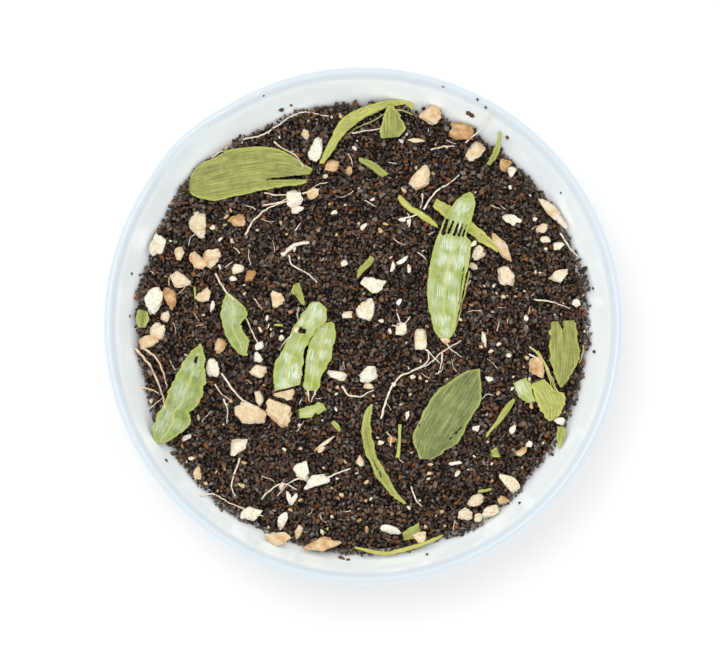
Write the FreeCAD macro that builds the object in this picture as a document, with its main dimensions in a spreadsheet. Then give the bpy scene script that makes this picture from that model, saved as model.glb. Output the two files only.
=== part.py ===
"""A small porcelain dish with a pouring notch in its rim, filled with a dry chai blend.

The blend is a bed of fine tea granules with the larger cardamom husks lying on it.
Millimetres, +Z up, origin at the centre of the foot, on the table. +X is to the dish's right and +Y away.
"""
import FreeCAD, Part
import math
import os
import Sketcher
from FreeCAD import Placement, Rotation, Vector

DISH = {
    "rim_diameter": 80.0,
    "dish_height": 22.5,
    "lip_width": 1.9,
    "outer_bulge": 2.96,
    "inner_bulge": 3.15,
    "foot_diameter": 44.0,
    "foot_wall": 3.0,
    "foot_height": 2.2,
    "foot_recess": 1.6,
    "foot_round": 0.5,
    "floor_level": 4.6,
    "floor_diameter": 40.0,
    "spout_bearing": 135.0,
    "spout_reach": 0.6,
    "spout_width": 20.0,
    "spout_depth": 9.0,
    "spout_merge": 0.3,
    "scoop_depth": 4.0,
    "notch_round": 10.5,
    "notch_depth": 1.3,
    "notch_fall": 12.0,
    "notch_length": 12.0,
}

# What follows from the sizes, as formulas over the sheet: each wall's arc, from how far it bulges off the
# straight line between its ends, and the spout's circle, which leaves the rim where spout_width ends.
FOLLOWS = {
    "rim": "rim_diameter / 2",
    "shoulder": "dish_height - lip_width / 2",
    "outer_run": "rim - foot_diameter / 2",
    "outer_rise": "shoulder - foot_height",
    "inner_run": "rim - lip_width - floor_diameter / 2",
    "inner_rise": "shoulder - floor_level",
    "outer_chord": "sqrt(outer_run ^ 2 + outer_rise ^ 2)",
    "inner_chord": "sqrt(inner_run ^ 2 + inner_rise ^ 2)",
    "outer_bow": "outer_chord ^ 2 / (8 * outer_bulge) + outer_bulge / 2",
    "inner_bow": "inner_chord ^ 2 / (8 * inner_bulge) + inner_bulge / 2",
    "outer_axis_out": "rim - outer_run / 2 - outer_rise / outer_chord * (outer_bow - outer_bulge)",
    "outer_axis_up": "foot_height + outer_rise / 2 + outer_run / outer_chord * (outer_bow - outer_bulge)",
    "inner_axis_out": "floor_diameter / 2 + inner_run / 2"
                      " - inner_rise / inner_chord * (inner_bow - inner_bulge)",
    "inner_axis_up": "floor_level + inner_rise / 2 + inner_run / inner_chord * (inner_bow - inner_bulge)",
    "spout_swell": "rim + spout_reach - sqrt(rim ^ 2 - spout_width ^ 2 / 4)",
    "spout_round": "spout_width ^ 2 / (8 * spout_swell) + spout_swell / 2",
    "spout_centre": "rim + spout_reach - spout_round",
    "spout_foot": "outer_axis_out + sqrt(outer_bow ^ 2 - (outer_axis_up - shoulder + spout_depth) ^ 2)"
                  " - spout_merge - spout_centre",
    "scoop_foot": "inner_axis_out + sqrt(inner_bow ^ 2 - (inner_axis_up - dish_height + scoop_depth) ^ 2)"
                  " - spout_merge - spout_centre",
}

TEA = {
    "tea_level": 16.0,
    "tea_clearance": 0.1,
    "tea_crown": 0.35,
    "ripple_height": 0.22,
    "ripple_length": 19.0,
    "ripple_sway": 0.6,
    "ripple_skew": 0.7,
    "ripple_cross": 0.9,
    "ripple_shift": 0.8,
}

HUSK = {
    "husk_thickness": 0.45,
    "husk_clearance": 0.05,
}

# A split cardamom valve a row: length, width, curl radius across, bow radius along, where its middle lies as
# shares of the tea's reach, the bearing of its long axis, and whether the ribbed skin or the pale lining is
# uppermost.
VALVE_SIZES = ("length", "width", "curl", "bow", "east", "north", "bearing")
VALVES = {
    "husk_upper_left": (19.8, 7.6, 8.0, 70.0, -0.496, 0.656, 12.0, "skin"),
    "husk_upright": (23.2, 6.9, 9.5, 95.0, 0.392, 0.259, 79.0, "lining"),
    "husk_left": (16.4, 5.9, 8.5, 80.0, -0.794, -0.290, 67.0, "lining"),
    "husk_small_left": (9.9, 4.0, 6.5, 60.0, -0.555, 0.000, 103.0, "lining"),
    "husk_middle": (15.0, 3.7, 6.5, 90.0, -0.290, -0.082, 68.0, "lining"),
    "husk_middle_right": (13.0, 3.2, 6.0, 80.0, -0.183, -0.101, 80.0, "lining"),
    "husk_lower_right": (16.9, 7.2, 7.6, 65.0, 0.372, -0.392, 52.0, "skin"),
    "husk_right": (10.6, 5.4, 7.0, 60.0, 0.890, -0.118, 92.0, "skin"),
    "husk_right_low": (8.0, 4.6, 6.5, 55.0, 0.809, -0.330, 116.0, "skin"),
}

# A crescent torn from a valve a row: chord, width at the middle, rise of its arc, curl radius across, where
# its middle lies as shares of the tea's reach, and the bearing of its chord. The arc bulges to the left of
# that bearing.
CRESCENT_SIZES = ("chord", "width", "rise", "curl", "east", "north", "bearing")
CRESCENTS = {
    "husk_top": (17.1, 2.3, 3.6, 2.4, 0.023, 0.823, 30.0),
    "strip_middle": (16.3, 1.5, 2.6, 1.8, 0.116, -0.558, 109.0),
    "strip_bottom": (13.4, 1.4, 1.6, 1.8, 0.158, -0.927, 187.0),
}

doc = FreeCAD.newDocument("chai_dish")
sheet = doc.addObject("Spreadsheet::Sheet", "Sizes")


def fill_sheet():
    """Writes each size with an alias: the driving ones as plain numbers, what follows as formulas."""
    named = {**DISH, **{alias: f"={formula}" for alias, formula in FOLLOWS.items()}, **TEA, **HUSK}
    for husks, cells in ((VALVES, VALVE_SIZES), (CRESCENTS, CRESCENT_SIZES)):
        for husk, row in husks.items():
            named.update({f"{husk}_{cell}": value for cell, value in zip(cells, row)})
    for line, (alias, value) in enumerate(named.items(), start=1):
        sheet.set(f"A{line}", alias)
        sheet.set(f"B{line}", str(value))
        sheet.setAlias(f"B{line}", alias)
    doc.recompute()


def value(alias):
    return float(sheet.get(alias))


# ---------------------------------------------------------------- the dish

def origin_plane(body, role):
    return next(feature for feature in body.Origin.OriginFeatures if feature.Role == role)


START, END = 1, 2
ORIGIN = (-1, 1)


def arc_side(sketch, low, high, radius):
    """An arc from low to high, turning left, or right if its radius is negative; with its two ends."""
    chord = high - low
    middle = (low + high) / 2
    left = Vector(-chord.y, chord.x, 0).normalize() * math.copysign(1, radius)
    centre = middle + left * math.sqrt(max(radius ** 2 - chord.Length ** 2 / 4, 0))
    index = sketch.addGeometry(Part.Arc(low, centre - left * abs(radius), high), False)
    return (index, START, END) if radius > 0 else (index, END, START)


def bound(sketch, kind, *where, expression):
    """A dimension of the sketch, tied to the sheet."""
    index = sketch.addConstraint(Sketcher.Constraint(kind, *where))
    sketch.setExpression(f"Constraints[{index}]", expression)


def half_profile(sketch, points, arcs):
    """A closed outline through the points, anticlockwise; the sides named in arcs are arcs of that radius.

    Each point is an (r, z) pair of expressions over the sheet, so the outline follows the sheet.
    """
    places = [Vector(sketch.evalExpression(r), sketch.evalExpression(z), 0) for r, z in points]
    sides = []
    for index, low in enumerate(places):
        high = places[(index + 1) % len(places)]
        if index in arcs:
            sides.append(arc_side(sketch, low, high, sketch.evalExpression(arcs[index])))
        else:
            sides.append((sketch.addGeometry(Part.LineSegment(low, high), False), START, END))
    for (side, _, end), (following, start, _) in zip(sides, sides[1:] + sides[:1]):
        sketch.addConstraint(Sketcher.Constraint("Coincident", side, end, following, start))
    for (side, start, _), point in zip(sides, points):
        for kind, axis, expression in zip(("DistanceX", "DistanceY"), (-2, -1), point):
            if expression == "0":
                sketch.addConstraint(Sketcher.Constraint("PointOnObject", side, start, axis))
            else:
                distance = sketch.evalExpression(expression)
                bound(sketch, kind, *ORIGIN, side, start, distance, expression=expression)
    for index, expression in arcs.items():
        radius = abs(sketch.evalExpression(expression))
        bound(sketch, "Radius", sides[index][0], radius, expression=f"abs({expression})")


def turned(body, kind, name, points, arcs):
    """A feature of revolution about the dish's axis."""
    sketch = body.newObject("Sketcher::SketchObject", f"{name}Profile")
    sketch.AttachmentSupport = [(origin_plane(body, "XZ_Plane"), "")]
    sketch.MapMode = "FlatFace"
    half_profile(sketch, points, arcs)
    doc.recompute()
    feature = body.newObject(f"PartDesign::{kind}", name)
    feature.Profile = sketch
    feature.ReferenceAxis = (sketch, ["V_Axis"])
    feature.Angle = 360
    doc.recompute()
    return feature


def rounded(body, base, name, radius, height):
    """Rounds the base feature's edges that lie level at that height."""
    edges = [f"Edge{number}" for number, edge in enumerate(base.Shape.Edges, start=1)
             if max(abs(edge.BoundBox.ZMin - height), abs(edge.BoundBox.ZMax - height)) < 1e-6]
    fillet = body.newObject("PartDesign::Fillet", name)
    fillet.Base = (base, edges)
    fillet.setExpression("Radius", radius)
    doc.recompute()
    return fillet


def on_spout(body, kind, name, out, up, turn=Rotation(), **sizes):
    """A PartDesign primitive on the spout's bearing, that far out from the axis and up from the table."""
    feature = body.newObject(f"PartDesign::{kind}", name)
    feature.AttachmentSupport = [(origin_plane(body, "XY_Plane"), "")]
    feature.MapMode = "FlatFace"
    feature.AttachmentOffset = Placement(Vector(), Rotation(Vector(0, 0, 1), value("spout_bearing")) * turn)
    feature.setExpression("AttachmentOffset.Base.x", f"({out}) * cos(Sizes.spout_bearing * 1deg)")
    feature.setExpression("AttachmentOffset.Base.y", f"({out}) * sin(Sizes.spout_bearing * 1deg)")
    feature.setExpression("AttachmentOffset.Base.z", up)
    for size, expression in sizes.items():
        feature.setExpression(size, expression)
    doc.recompute()
    return feature


def dish():
    """A turned dish on a foot ring, with a round lip that swells into a shallow spout."""
    body = doc.addObject("PartDesign::Body", "Dish")
    body.Label = "dish"
    rim, shoulder, foot = "Sizes.rim", "Sizes.shoulder", "Sizes.foot_diameter / 2"
    lip = "Sizes.lip_width / 2"
    outside = [("0", "Sizes.foot_recess"), (f"{foot} - Sizes.foot_wall", "Sizes.foot_recess"),
               (f"{foot} - Sizes.foot_wall", "0"), (foot, "0"), (foot, "Sizes.foot_height"),
               (rim, shoulder), (f"{rim} - {lip}", "Sizes.dish_height"), ("0", "Sizes.dish_height")]
    form = turned(body, "Revolution", "Outside", outside, {4: "Sizes.outer_bow", 5: lip})
    rounded(body, form, "FootEdges", "Sizes.foot_round", 0)
    on_spout(body, "AdditiveCone", "SpoutOutside", "Sizes.spout_centre", f"{shoulder} - Sizes.spout_depth",
             Height="Sizes.spout_depth", Radius2="Sizes.spout_round", Radius1="Sizes.spout_foot")
    hollow = [("0", "Sizes.floor_level"), ("Sizes.floor_diameter / 2", "Sizes.floor_level"),
              (f"{rim} - 2 * {lip}", shoulder), (f"{rim} - {lip}", "Sizes.dish_height"),
              ("0", "Sizes.dish_height")]
    turned(body, "Groove", "Hollow", hollow, {1: "Sizes.inner_bow", 2: f"-{lip}"})
    on_spout(body, "SubtractiveCone", "SpoutInside", "Sizes.spout_centre",
             "Sizes.dish_height - Sizes.scoop_depth", Height="Sizes.scoop_depth",
             Radius2="Sizes.spout_round - Sizes.lip_width", Radius1="Sizes.scoop_foot")
    half_turn = math.degrees(math.asin(value("spout_width") / 2 / value("spout_round")))
    on_spout(body, "AdditiveTorus", "SpoutLip", "Sizes.spout_centre", shoulder,
             Rotation(Vector(0, 0, 1), -half_turn), Radius1=f"Sizes.spout_round - {lip}", Radius2=lip,
             Angle3="2 * asin(Sizes.spout_width / 2 / Sizes.spout_round)")
    on_spout(body, "SubtractiveCylinder", "Notch", f"{rim} - Sizes.notch_length / 2",
             "Sizes.dish_height - Sizes.notch_depth + Sizes.notch_round",
             Rotation(Vector(0, 1, 0), 90 + value("notch_fall")),
             Radius="Sizes.notch_round", Height="Sizes.notch_length")
    return body


# ---------------------------------------------------------------- the bed of tea

def tea_height(x, y):
    """The level of the tea: a low crown with gentle ripples, level with tea_level at the wall."""
    crown = value("tea_crown") * (1 - (x * x + y * y) / value("rim") ** 2)
    wave = 2 * math.pi / value("ripple_length")
    sway = value("ripple_sway") * math.sin(wave * y * value("ripple_skew"))
    ripple = math.sin(wave * x + sway) * math.cos(wave * y * value("ripple_cross") + value("ripple_shift"))
    return value("tea_level") + crown + value("ripple_height") * ripple


def inner_wall(gap=0.0):
    """The inner wall's arc in the XZ plane, moved in by gap: its centre, radius, and low and high ends."""
    centre = Vector(value("inner_axis_out"), 0, value("inner_axis_up"))
    floor, radius = value("floor_level"), value("inner_bow") - gap
    low = Vector(centre.x + math.sqrt(radius ** 2 - (centre.z - floor) ** 2), 0, floor)
    high = Vector(value("rim") - value("lip_width"), 0, value("shoulder"))
    return centre, radius, low, centre + (high - centre).normalize() * radius


def wall_height(out):
    """How high the inner wall stands at that distance from the axis."""
    centre, radius, low, high = inner_wall()
    if out <= low.x:
        return low.z
    return centre.z - math.sqrt(max(radius ** 2 - (min(out, high.x) - centre.x) ** 2, 0))


def tea_reach():
    """How far from the axis the tea's edge lies, where the wall stands as high as tea_level."""
    centre, radius, _, _ = inner_wall()
    return centre.x + math.sqrt(radius ** 2 - (centre.z - value("tea_level")) ** 2)


def tea_bed():
    """The tea fills the hollow up to its rippled top, a hair inside the wall."""
    steps = 17
    cells = [value("rim") * (2 * i / (steps - 1) - 1) for i in range(steps)]
    top = Part.BSplineSurface()
    top.interpolate([[Vector(x, y, tea_height(x, y)) for y in cells] for x in cells])
    under_top = top.toShape().extrude(Vector(0, 0, -value("dish_height")))

    centre, radius, low, high = inner_wall(value("tea_clearance"))
    bulge = centre + ((low + high) / 2 - centre).normalize() * radius
    below, above = Vector(0, 0, low.z), Vector(0, 0, high.z)
    outline = Part.Wire([Part.makeLine(above, below), Part.makeLine(below, low),
                         Part.Arc(low, bulge, high).toShape(), Part.makeLine(high, above)])
    hollow = Part.Face(outline).revolve(Vector(), Vector(0, 0, 1), 360)
    bed = doc.addObject("Part::Feature", "TeaBed")
    bed.Label = "tea_bed"
    bed.Shape = hollow.common(under_top)
    return bed


# ---------------------------------------------------------------- the husks

def primitive(kind, name, **sizes):
    """A Part primitive whose sizes are bound to the sheet. A _ in a size's name stands for a dot."""
    thing = doc.addObject(f"Part::{kind}", name)
    for size, expression in sizes.items():
        thing.setExpression(size.replace("_", "."), expression)
    return thing


def boolean(kind, name, *things):
    result = doc.addObject(f"Part::{kind}", name)
    if kind == "MultiCommon":
        result.Shapes = things
    else:
        result.Base, result.Tool = things
    return result


def ground(x, y):
    """What a husk at (x, y) lies on: the tea, or the dish's wall where that is higher."""
    return max(tea_height(x, y), wall_height(math.hypot(x, y)))


def lay_down(husk, name, reach, lining_up):
    """Puts a husk at its place and bearing, tilted as the ground between its ends, and as low as it goes."""
    doc.recompute()
    east, north = (value(f"{name}_{way}") * tea_reach() for way in ("east", "north"))
    bearing = value(f"{name}_bearing")
    along = Vector(math.cos(math.radians(bearing)), math.sin(math.radians(bearing)), 0) * (reach / 2)
    climb = ground(east + along.x, north + along.y) - ground(east - along.x, north - along.y)
    tilt = math.degrees(math.atan2(climb, reach))
    turn = Rotation(Vector(0, 0, 1), bearing) * Rotation(Vector(0, 1, 0), -tilt)
    if lining_up:
        turn = turn * Rotation(Vector(1, 0, 0), 180)
    points = [turn.multVec(point) for point in husk.Shape.tessellate(0.05)[0]]
    lift = max(ground(east + p.x, north + p.y) - p.z for p in points) + value("husk_clearance")
    husk.Placement = Placement(Vector(east, north, lift), turn)
    husk.Label = name
    return husk


def shell(name, curl, ring):
    """A thin wall bent both ways: the outer skin of a ring, with its top at the origin."""
    rings = []
    for layer, extra in (("Skin", "0"), ("Lining", "Sizes.husk_thickness")):
        rings.append(primitive("Torus", f"{name}{layer}", Radius1=ring, Radius2=f"{curl} - {extra}"))
    return rings


def valve(name, uppermost):
    """A split valve: a thin wall curled across and bowed along, cut to a pointed leaf by two round cuts."""
    length, width = f"Sizes.{name}_length", f"Sizes.{name}_width"
    curl, bow = f"Sizes.{name}_curl", f"Sizes.{name}_bow"
    rings = shell(name, curl, f"{bow} - {curl}")
    for ring in rings:
        ring.Placement = Placement(Vector(), Rotation(Vector(1, 0, 0), 90))
        ring.setExpression("Placement.Base.z", f"-{bow}")
    side = f"(({length}) ^ 2 / 4 + ({width}) ^ 2 / 4) / {width}"
    cuts = []
    for hand, sign in (("Left", ""), ("Right", "-")):
        cuts.append(primitive("Cylinder", f"{name}{hand}", Radius=side, Height=f"2 * {curl}",
                              Placement_Base_y=f"{sign}({side} - {width} / 2)",
                              Placement_Base_z=f"-{curl}"))
    wall = boolean("Cut", f"{name}Wall", *rings)
    leaf = boolean("MultiCommon", f"{name}Valve", wall, *cuts)
    return lay_down(leaf, name, value(f"{name}_length"), uppermost == "lining")


def crescent(name):
    """A strip torn from a valve: a thin wall curled across and bent in plan, pointed at both ends."""
    chord, width = f"Sizes.{name}_chord", f"Sizes.{name}_width"
    rise, curl = f"Sizes.{name}_rise", f"Sizes.{name}_curl"
    tops = [f"({rise} + {half} * {width} / 2)" for half in (1, 0, -1)]
    radii = [f"(({chord}) ^ 2 / 4 + {top} ^ 2) / (2 * {top})" for top in tops]
    centres = [f"{top} - {radius}" for top, radius in zip(tops, radii)]
    rings = shell(name, curl, radii[1])
    for ring in rings:
        ring.setExpression("Placement.Base.y", centres[1])
        ring.setExpression("Placement.Base.z", f"-{curl}")
    discs = []
    for hand, radius, centre in (("Outer", radii[0], centres[0]), ("Inner", radii[2], centres[2])):
        discs.append(primitive("Cylinder", f"{name}{hand}", Radius=radius, Height=f"2 * {curl}",
                               Placement_Base_y=centre, Placement_Base_z=f"-{curl}"))
    wall = boolean("Cut", f"{name}Wall", *rings)
    lune = boolean("Cut", f"{name}Lune", *discs)
    strip = boolean("MultiCommon", f"{name}Crescent", wall, lune)
    return lay_down(strip, name, value(f"{name}_chord"), False)


# ---------------------------------------------------------------- build, check and write

def check(pieces):
    """Stops if any object failed or any piece isn't one sound solid."""
    doc.recompute()
    failed = [thing.Name for thing in doc.Objects if {"Invalid", "Error"} & set(thing.State)]
    if failed:
        raise RuntimeError(f"failed objects: {failed}")
    for piece in pieces:
        if piece.Shape.isNull() or not piece.Shape.isValid() or len(piece.Shape.Solids) != 1:
            raise RuntimeError(f"{piece.Label} isn't one sound solid")


fill_sheet()
pieces = [dish(), tea_bed()]
pieces += [valve(name, row[-1]) for name, row in VALVES.items()]
pieces += [crescent(name) for name in CRESCENTS]
check(pieces)
os.makedirs("parts", exist_ok=True)
for piece in pieces:
    piece.Shape.exportStep(f"parts/{piece.Label}.step")
    print(f"{piece.Label}: {piece.Shape.Volume:.1f} mm3")
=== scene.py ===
"""A small white porcelain dish of dry chai blend: tea granules, split cardamom husks, dried ginger and roots.

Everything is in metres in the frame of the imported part. Sizes are written in millimetres and scaled by MM.
"""
import math

import bmesh
import bpy
import numpy as np
from mathutils import Matrix, Vector


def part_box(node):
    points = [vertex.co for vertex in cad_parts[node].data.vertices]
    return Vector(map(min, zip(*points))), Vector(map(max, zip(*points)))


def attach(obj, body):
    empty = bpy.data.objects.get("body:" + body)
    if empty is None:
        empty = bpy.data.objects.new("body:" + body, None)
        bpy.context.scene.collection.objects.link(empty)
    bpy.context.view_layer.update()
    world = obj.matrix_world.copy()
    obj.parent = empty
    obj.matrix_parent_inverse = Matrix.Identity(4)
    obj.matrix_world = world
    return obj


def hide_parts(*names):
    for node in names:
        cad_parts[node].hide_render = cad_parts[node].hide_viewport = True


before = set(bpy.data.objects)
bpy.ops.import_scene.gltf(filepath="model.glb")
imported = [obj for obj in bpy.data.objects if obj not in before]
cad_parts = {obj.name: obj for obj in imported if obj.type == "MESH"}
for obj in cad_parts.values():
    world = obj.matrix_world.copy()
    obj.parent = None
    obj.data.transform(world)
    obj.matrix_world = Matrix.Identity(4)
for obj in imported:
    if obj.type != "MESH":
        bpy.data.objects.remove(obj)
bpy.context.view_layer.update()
MM = 0.001


# ---------------------------------------------------------------- the dish
# Hard porcelain, jiggered on a wheel, dipped in a clear glaze and fired standing on its bare foot ring.
# The rim is rolled round, and one place was pressed outwards with a finger as a shallow pouring spout.

low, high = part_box("dish")
RIM = (high.x - low.x) / 2 / MM
HEIGHT = (high.z - low.z) / MM
LIP = 1.9
OUTER_BOW, INNER_BOW = 31.0, 26.0
FLOOR, FLOOR_REACH = 4.6, 20.0
FOOT_REACH, FOOT_WALL, FOOT_HEIGHT, FOOT_RECESS, FOOT_ROUND = 22.0, 3.0, 2.2, 1.6, 0.5
SPOUT_BEARING, SPOUT_START = 135.0, 0.62
SPOUT_REACH, SPOUT_SPREAD = 0.6, 15.5
NOTCH_DEPTH, NOTCH_SPREAD, NOTCH_FLARE = 0.85, 15.0, 0.15
# Painted shade in a darker blue-grey on the lip and in the spout: it starts this far below the shoulder, is
# full this far below the crest, and has this strength in the spout.
SPOUT_PAINTED_SHADE, LIP_SHADE_BELOW, LIP_SHADE_SHORT = 0.8, 0.5, 0.15
LIP_EASE, EASE_PULL, CREST_IN = 2.6, 1.3, 0.75
DISH_AROUND = 288
BARE_FOOT, GLAZED_FOOT = 0.3, 0.7
# The lip colour is painted shade, a darker blue-grey than the glaze.
GLAZE_WHITE, GLAZE_SHADE, LIP_PAINTED_SHADE, BISCUIT = "#F5FAFC", "#EFF5F8", "#C6D0D7", "#D2CCC1"


def linear(colour):
    """An sRGB hex colour as linear RGBA."""
    shares = [int(colour[i:i + 2], 16) / 255 for i in (1, 3, 5)]
    return [s / 12.92 if s <= 0.04045 else ((s + 0.055) / 1.055) ** 2.4 for s in shares] + [1.0]


def arc_through(low, high, radius, count):
    """Points of an arc from low to high that bulges outwards and down."""
    (r0, z0), (r1, z1) = low, high
    half = math.hypot(r1 - r0, z1 - z0) / 2
    away = math.sqrt(radius ** 2 - half ** 2)
    centre = ((r0 + r1) / 2 - (z1 - z0) / 2 / half * away, (z0 + z1) / 2 + (r1 - r0) / 2 / half * away)
    start = math.atan2(z0 - centre[1], r0 - centre[0])
    end = math.atan2(z1 - centre[1], r1 - centre[0])
    angles = np.linspace(start, end, count)
    return [(centre[0] + radius * math.cos(a), centre[1] + radius * math.sin(a)) for a in angles]


SHOULDER = HEIGHT - LIP / 2
INNER_WALL = arc_through((FLOOR_REACH, FLOOR), (RIM - LIP, SHOULDER), INNER_BOW, 26)


def dish_section():
    """The dish's half section, from the middle of its underside round the rim to the middle of its floor."""
    inside_foot = FOOT_REACH - FOOT_WALL
    underside = [(r, FOOT_RECESS) for r in np.linspace(0, inside_foot - 0.3, 6)]
    foot = [(inside_foot, FOOT_RECESS - 0.3), (inside_foot, 0.4), (inside_foot + 0.15, 0.12),
            (inside_foot + FOOT_ROUND, 0), (FOOT_REACH - FOOT_ROUND, 0), (FOOT_REACH - 0.15, 0.15),
            (FOOT_REACH, FOOT_ROUND), (FOOT_REACH, FOOT_HEIGHT - 0.35), (FOOT_REACH + 0.1, FOOT_HEIGHT - 0.1)]
    outside = arc_through((FOOT_REACH + 0.3, FOOT_HEIGHT), (RIM, SHOULDER), OUTER_BOW, 30)
    turns = np.linspace(0, math.pi / 2, 9)[1:]
    lip = [(RIM - CREST_IN + CREST_IN * math.cos(a), SHOULDER + LIP / 2 * math.sin(a)) for a in turns]
    wall = [point for point in INNER_WALL if point[1] < SHOULDER - LIP_EASE]
    (r1, z1), (r0, z0) = wall[-1], wall[-2]
    rise = (z1 - z0) / (r1 - r0)
    pull = (r1 + EASE_PULL / rise, z1 + EASE_PULL)
    corners = np.array([lip[-1], (RIM - 2 * CREST_IN, HEIGHT), pull, (r1, z1)])
    share = np.linspace(0, 1, 13)[1:-1, None]
    ease = ((1 - share) ** 3 * corners[0] + 3 * (1 - share) ** 2 * share * corners[1]
            + 3 * (1 - share) * share ** 2 * corners[2] + share ** 3 * corners[3])
    floor = [(r, FLOOR) for r in np.linspace(FLOOR_REACH - 0.8, 0, 8)]
    return np.array(underside + foot + outside + lip + ease.tolist() + wall[::-1] + floor)


def window(distance, spread):
    """One at no distance, falling smoothly to nothing at the spread."""
    return np.where(np.abs(distance) < spread, np.cos(np.pi / 2 * np.clip(distance / spread, -1, 1)) ** 2, 0)


def new_piece(name, vertices, faces, material, smooth=True, marks=()):
    """A mesh object from points in millimetres, with named marks that hold a number for each point."""
    mesh = bpy.data.meshes.new(name)
    mesh.from_pydata((np.asarray(vertices) * MM).tolist(), [], faces)
    mesh.polygons.foreach_set("use_smooth", [smooth] * len(mesh.polygons))
    for mark, numbers in dict(marks).items():
        mesh.attributes.new(mark, "FLOAT", "POINT").data.foreach_set("value", numbers)
    mesh.update()
    piece = bpy.data.objects.new(name, mesh)
    bpy.context.scene.collection.objects.link(piece)
    piece.data.materials.append(material)
    return piece


def ring_faces(rings, inward=False):
    """The faces between rings of points, where the first and the last ring are a single point."""
    around = len(rings[1])
    starts = np.cumsum([0] + [len(ring) for ring in rings])
    faces = []
    for i, (here, there) in enumerate(zip(starts[:-2], starts[1:-1])):
        for side in range(around):
            j, k = side, (side + 1) % around
            if inward:
                j, k = k, j
            if i == 0:
                faces.append((here, there + k, there + j))
            elif i == len(rings) - 2:
                faces.append((here + j, here + k, there))
            else:
                faces.append((here + j, here + k, there + k, there + j))
    return faces


def settle(piece, slot, *nodes):
    """The piece rides with the dish and stands for the nodes, which it hides. The slot is not used."""
    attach(piece, "root")
    if nodes:
        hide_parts(*nodes)


def step(material, kind, inputs=None, stops=(), **settings):
    """Adds one shader node. An input is a number, an sRGB hex colour or an output; stops are a ramp's."""
    tree = material.node_tree
    node = tree.nodes.new("ShaderNode" + kind)
    sockets = {socket.identifier: socket for socket in node.inputs}
    for name, setting in settings.items():
        setattr(node, name, setting)
    for name, given in (inputs or {}).items():
        if isinstance(given, bpy.types.NodeSocket):
            tree.links.new(given, sockets[name])
        else:
            sockets[name].default_value = linear(given) if isinstance(given, str) else given
    for place, (position, colour) in enumerate(stops):
        marks = node.color_ramp.elements
        mark = marks[place] if place < 2 else marks.new(position)
        mark.position, mark.color = position, linear(colour)
    return node


def blank(name):
    """A material with nothing but its output, and each place on it in the object's own frame."""
    material = bpy.data.materials.new(name)
    material.use_nodes = True
    material.node_tree.nodes.clear()
    step(material, "OutputMaterial")
    return material, step(material, "TexCoord").outputs["Object"]


def surface(material, inputs):
    """Ends a material in one Principled surface."""
    shader = step(material, "BsdfPrincipled", inputs)
    output = next(node for node in material.node_tree.nodes if node.type == "OUTPUT_MATERIAL")
    material.node_tree.links.new(shader.outputs["BSDF"], output.inputs["Surface"])
    return material


def noise(material, place, scale, detail, roughness=0.5):
    """A cloudy number between none and one at each place."""
    inputs = {"Vector": place, "Scale": scale, "Detail": detail, "Roughness": roughness}
    return step(material, "TexNoise", inputs).outputs["Fac"]


def stretched(material, number, low, high, least=0.0, most=1.0):
    """A number's range from low to high, stretched onto the one from least to most."""
    inputs = {"Value": number, "From Min": low, "From Max": high, "To Min": least, "To Max": most}
    return step(material, "MapRange", inputs).outputs["Result"]


def combined(material, operation, one, other):
    """Two numbers added or multiplied."""
    return step(material, "Math", {"Value": one, "Value_001": other}, operation=operation).outputs["Value"]


def mark_of(material, name, scale=1.0):
    """A mark of the mesh, times a scale."""
    mark = step(material, "Attribute", attribute_name=name).outputs["Fac"]
    return combined(material, "MULTIPLY", mark, scale)


def ramp(material, share, *stops):
    """A colour along a ramp."""
    return step(material, "ValToRGB", {"Fac": share}, stops).outputs["Color"]


def mixed(material, share, one, other):
    """A mix of two colours, each an output or an sRGB hex colour."""
    inputs = {"Factor_Float": share, "A_Color": one, "B_Color": other}
    return step(material, "Mix", inputs, data_type="RGBA").outputs[2]


def bumped(material, height, strength, depth):
    """The bent normal of a fine relief, its depth in millimetres."""
    inputs = {"Height": height, "Strength": strength, "Distance": depth * MM}
    return step(material, "Bump", inputs).outputs["Normal"]


def glazed_porcelain():
    """Clear glaze on white porcelain: a cool white with a sharp wet gloss, darker blue-grey painted shade on
    the lip and in the spout, and a dry matt foot ring.
    """
    material, place = blank("glazed_porcelain")
    height = step(material, "SeparateXYZ", {"Vector": place}).outputs["Z"]
    cloud = noise(material, place, 60.0, 2.0)
    white = ramp(material, cloud, (0.35, GLAZE_SHADE), (0.65, GLAZE_WHITE))
    # The lip and the spout take the darker blue-grey as painted shade.
    glazed = mixed(material, mark_of(material, "lip_painted_shade"), white, LIP_PAINTED_SHADE)
    above_foot = stretched(material, height, BARE_FOOT * MM, GLAZED_FOOT * MM)
    rough = stretched(material, height, BARE_FOOT * MM, GLAZED_FOOT * MM, 0.7, 0.09)
    ripple = noise(material, place, 180.0, 1.0)
    return surface(material, {
        "Base Color": mixed(material, above_foot, BISCUIT, glazed), "Roughness": rough, "IOR": 1.5,
        "Normal": bumped(material, ripple, 0.25, 0.03)})


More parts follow.
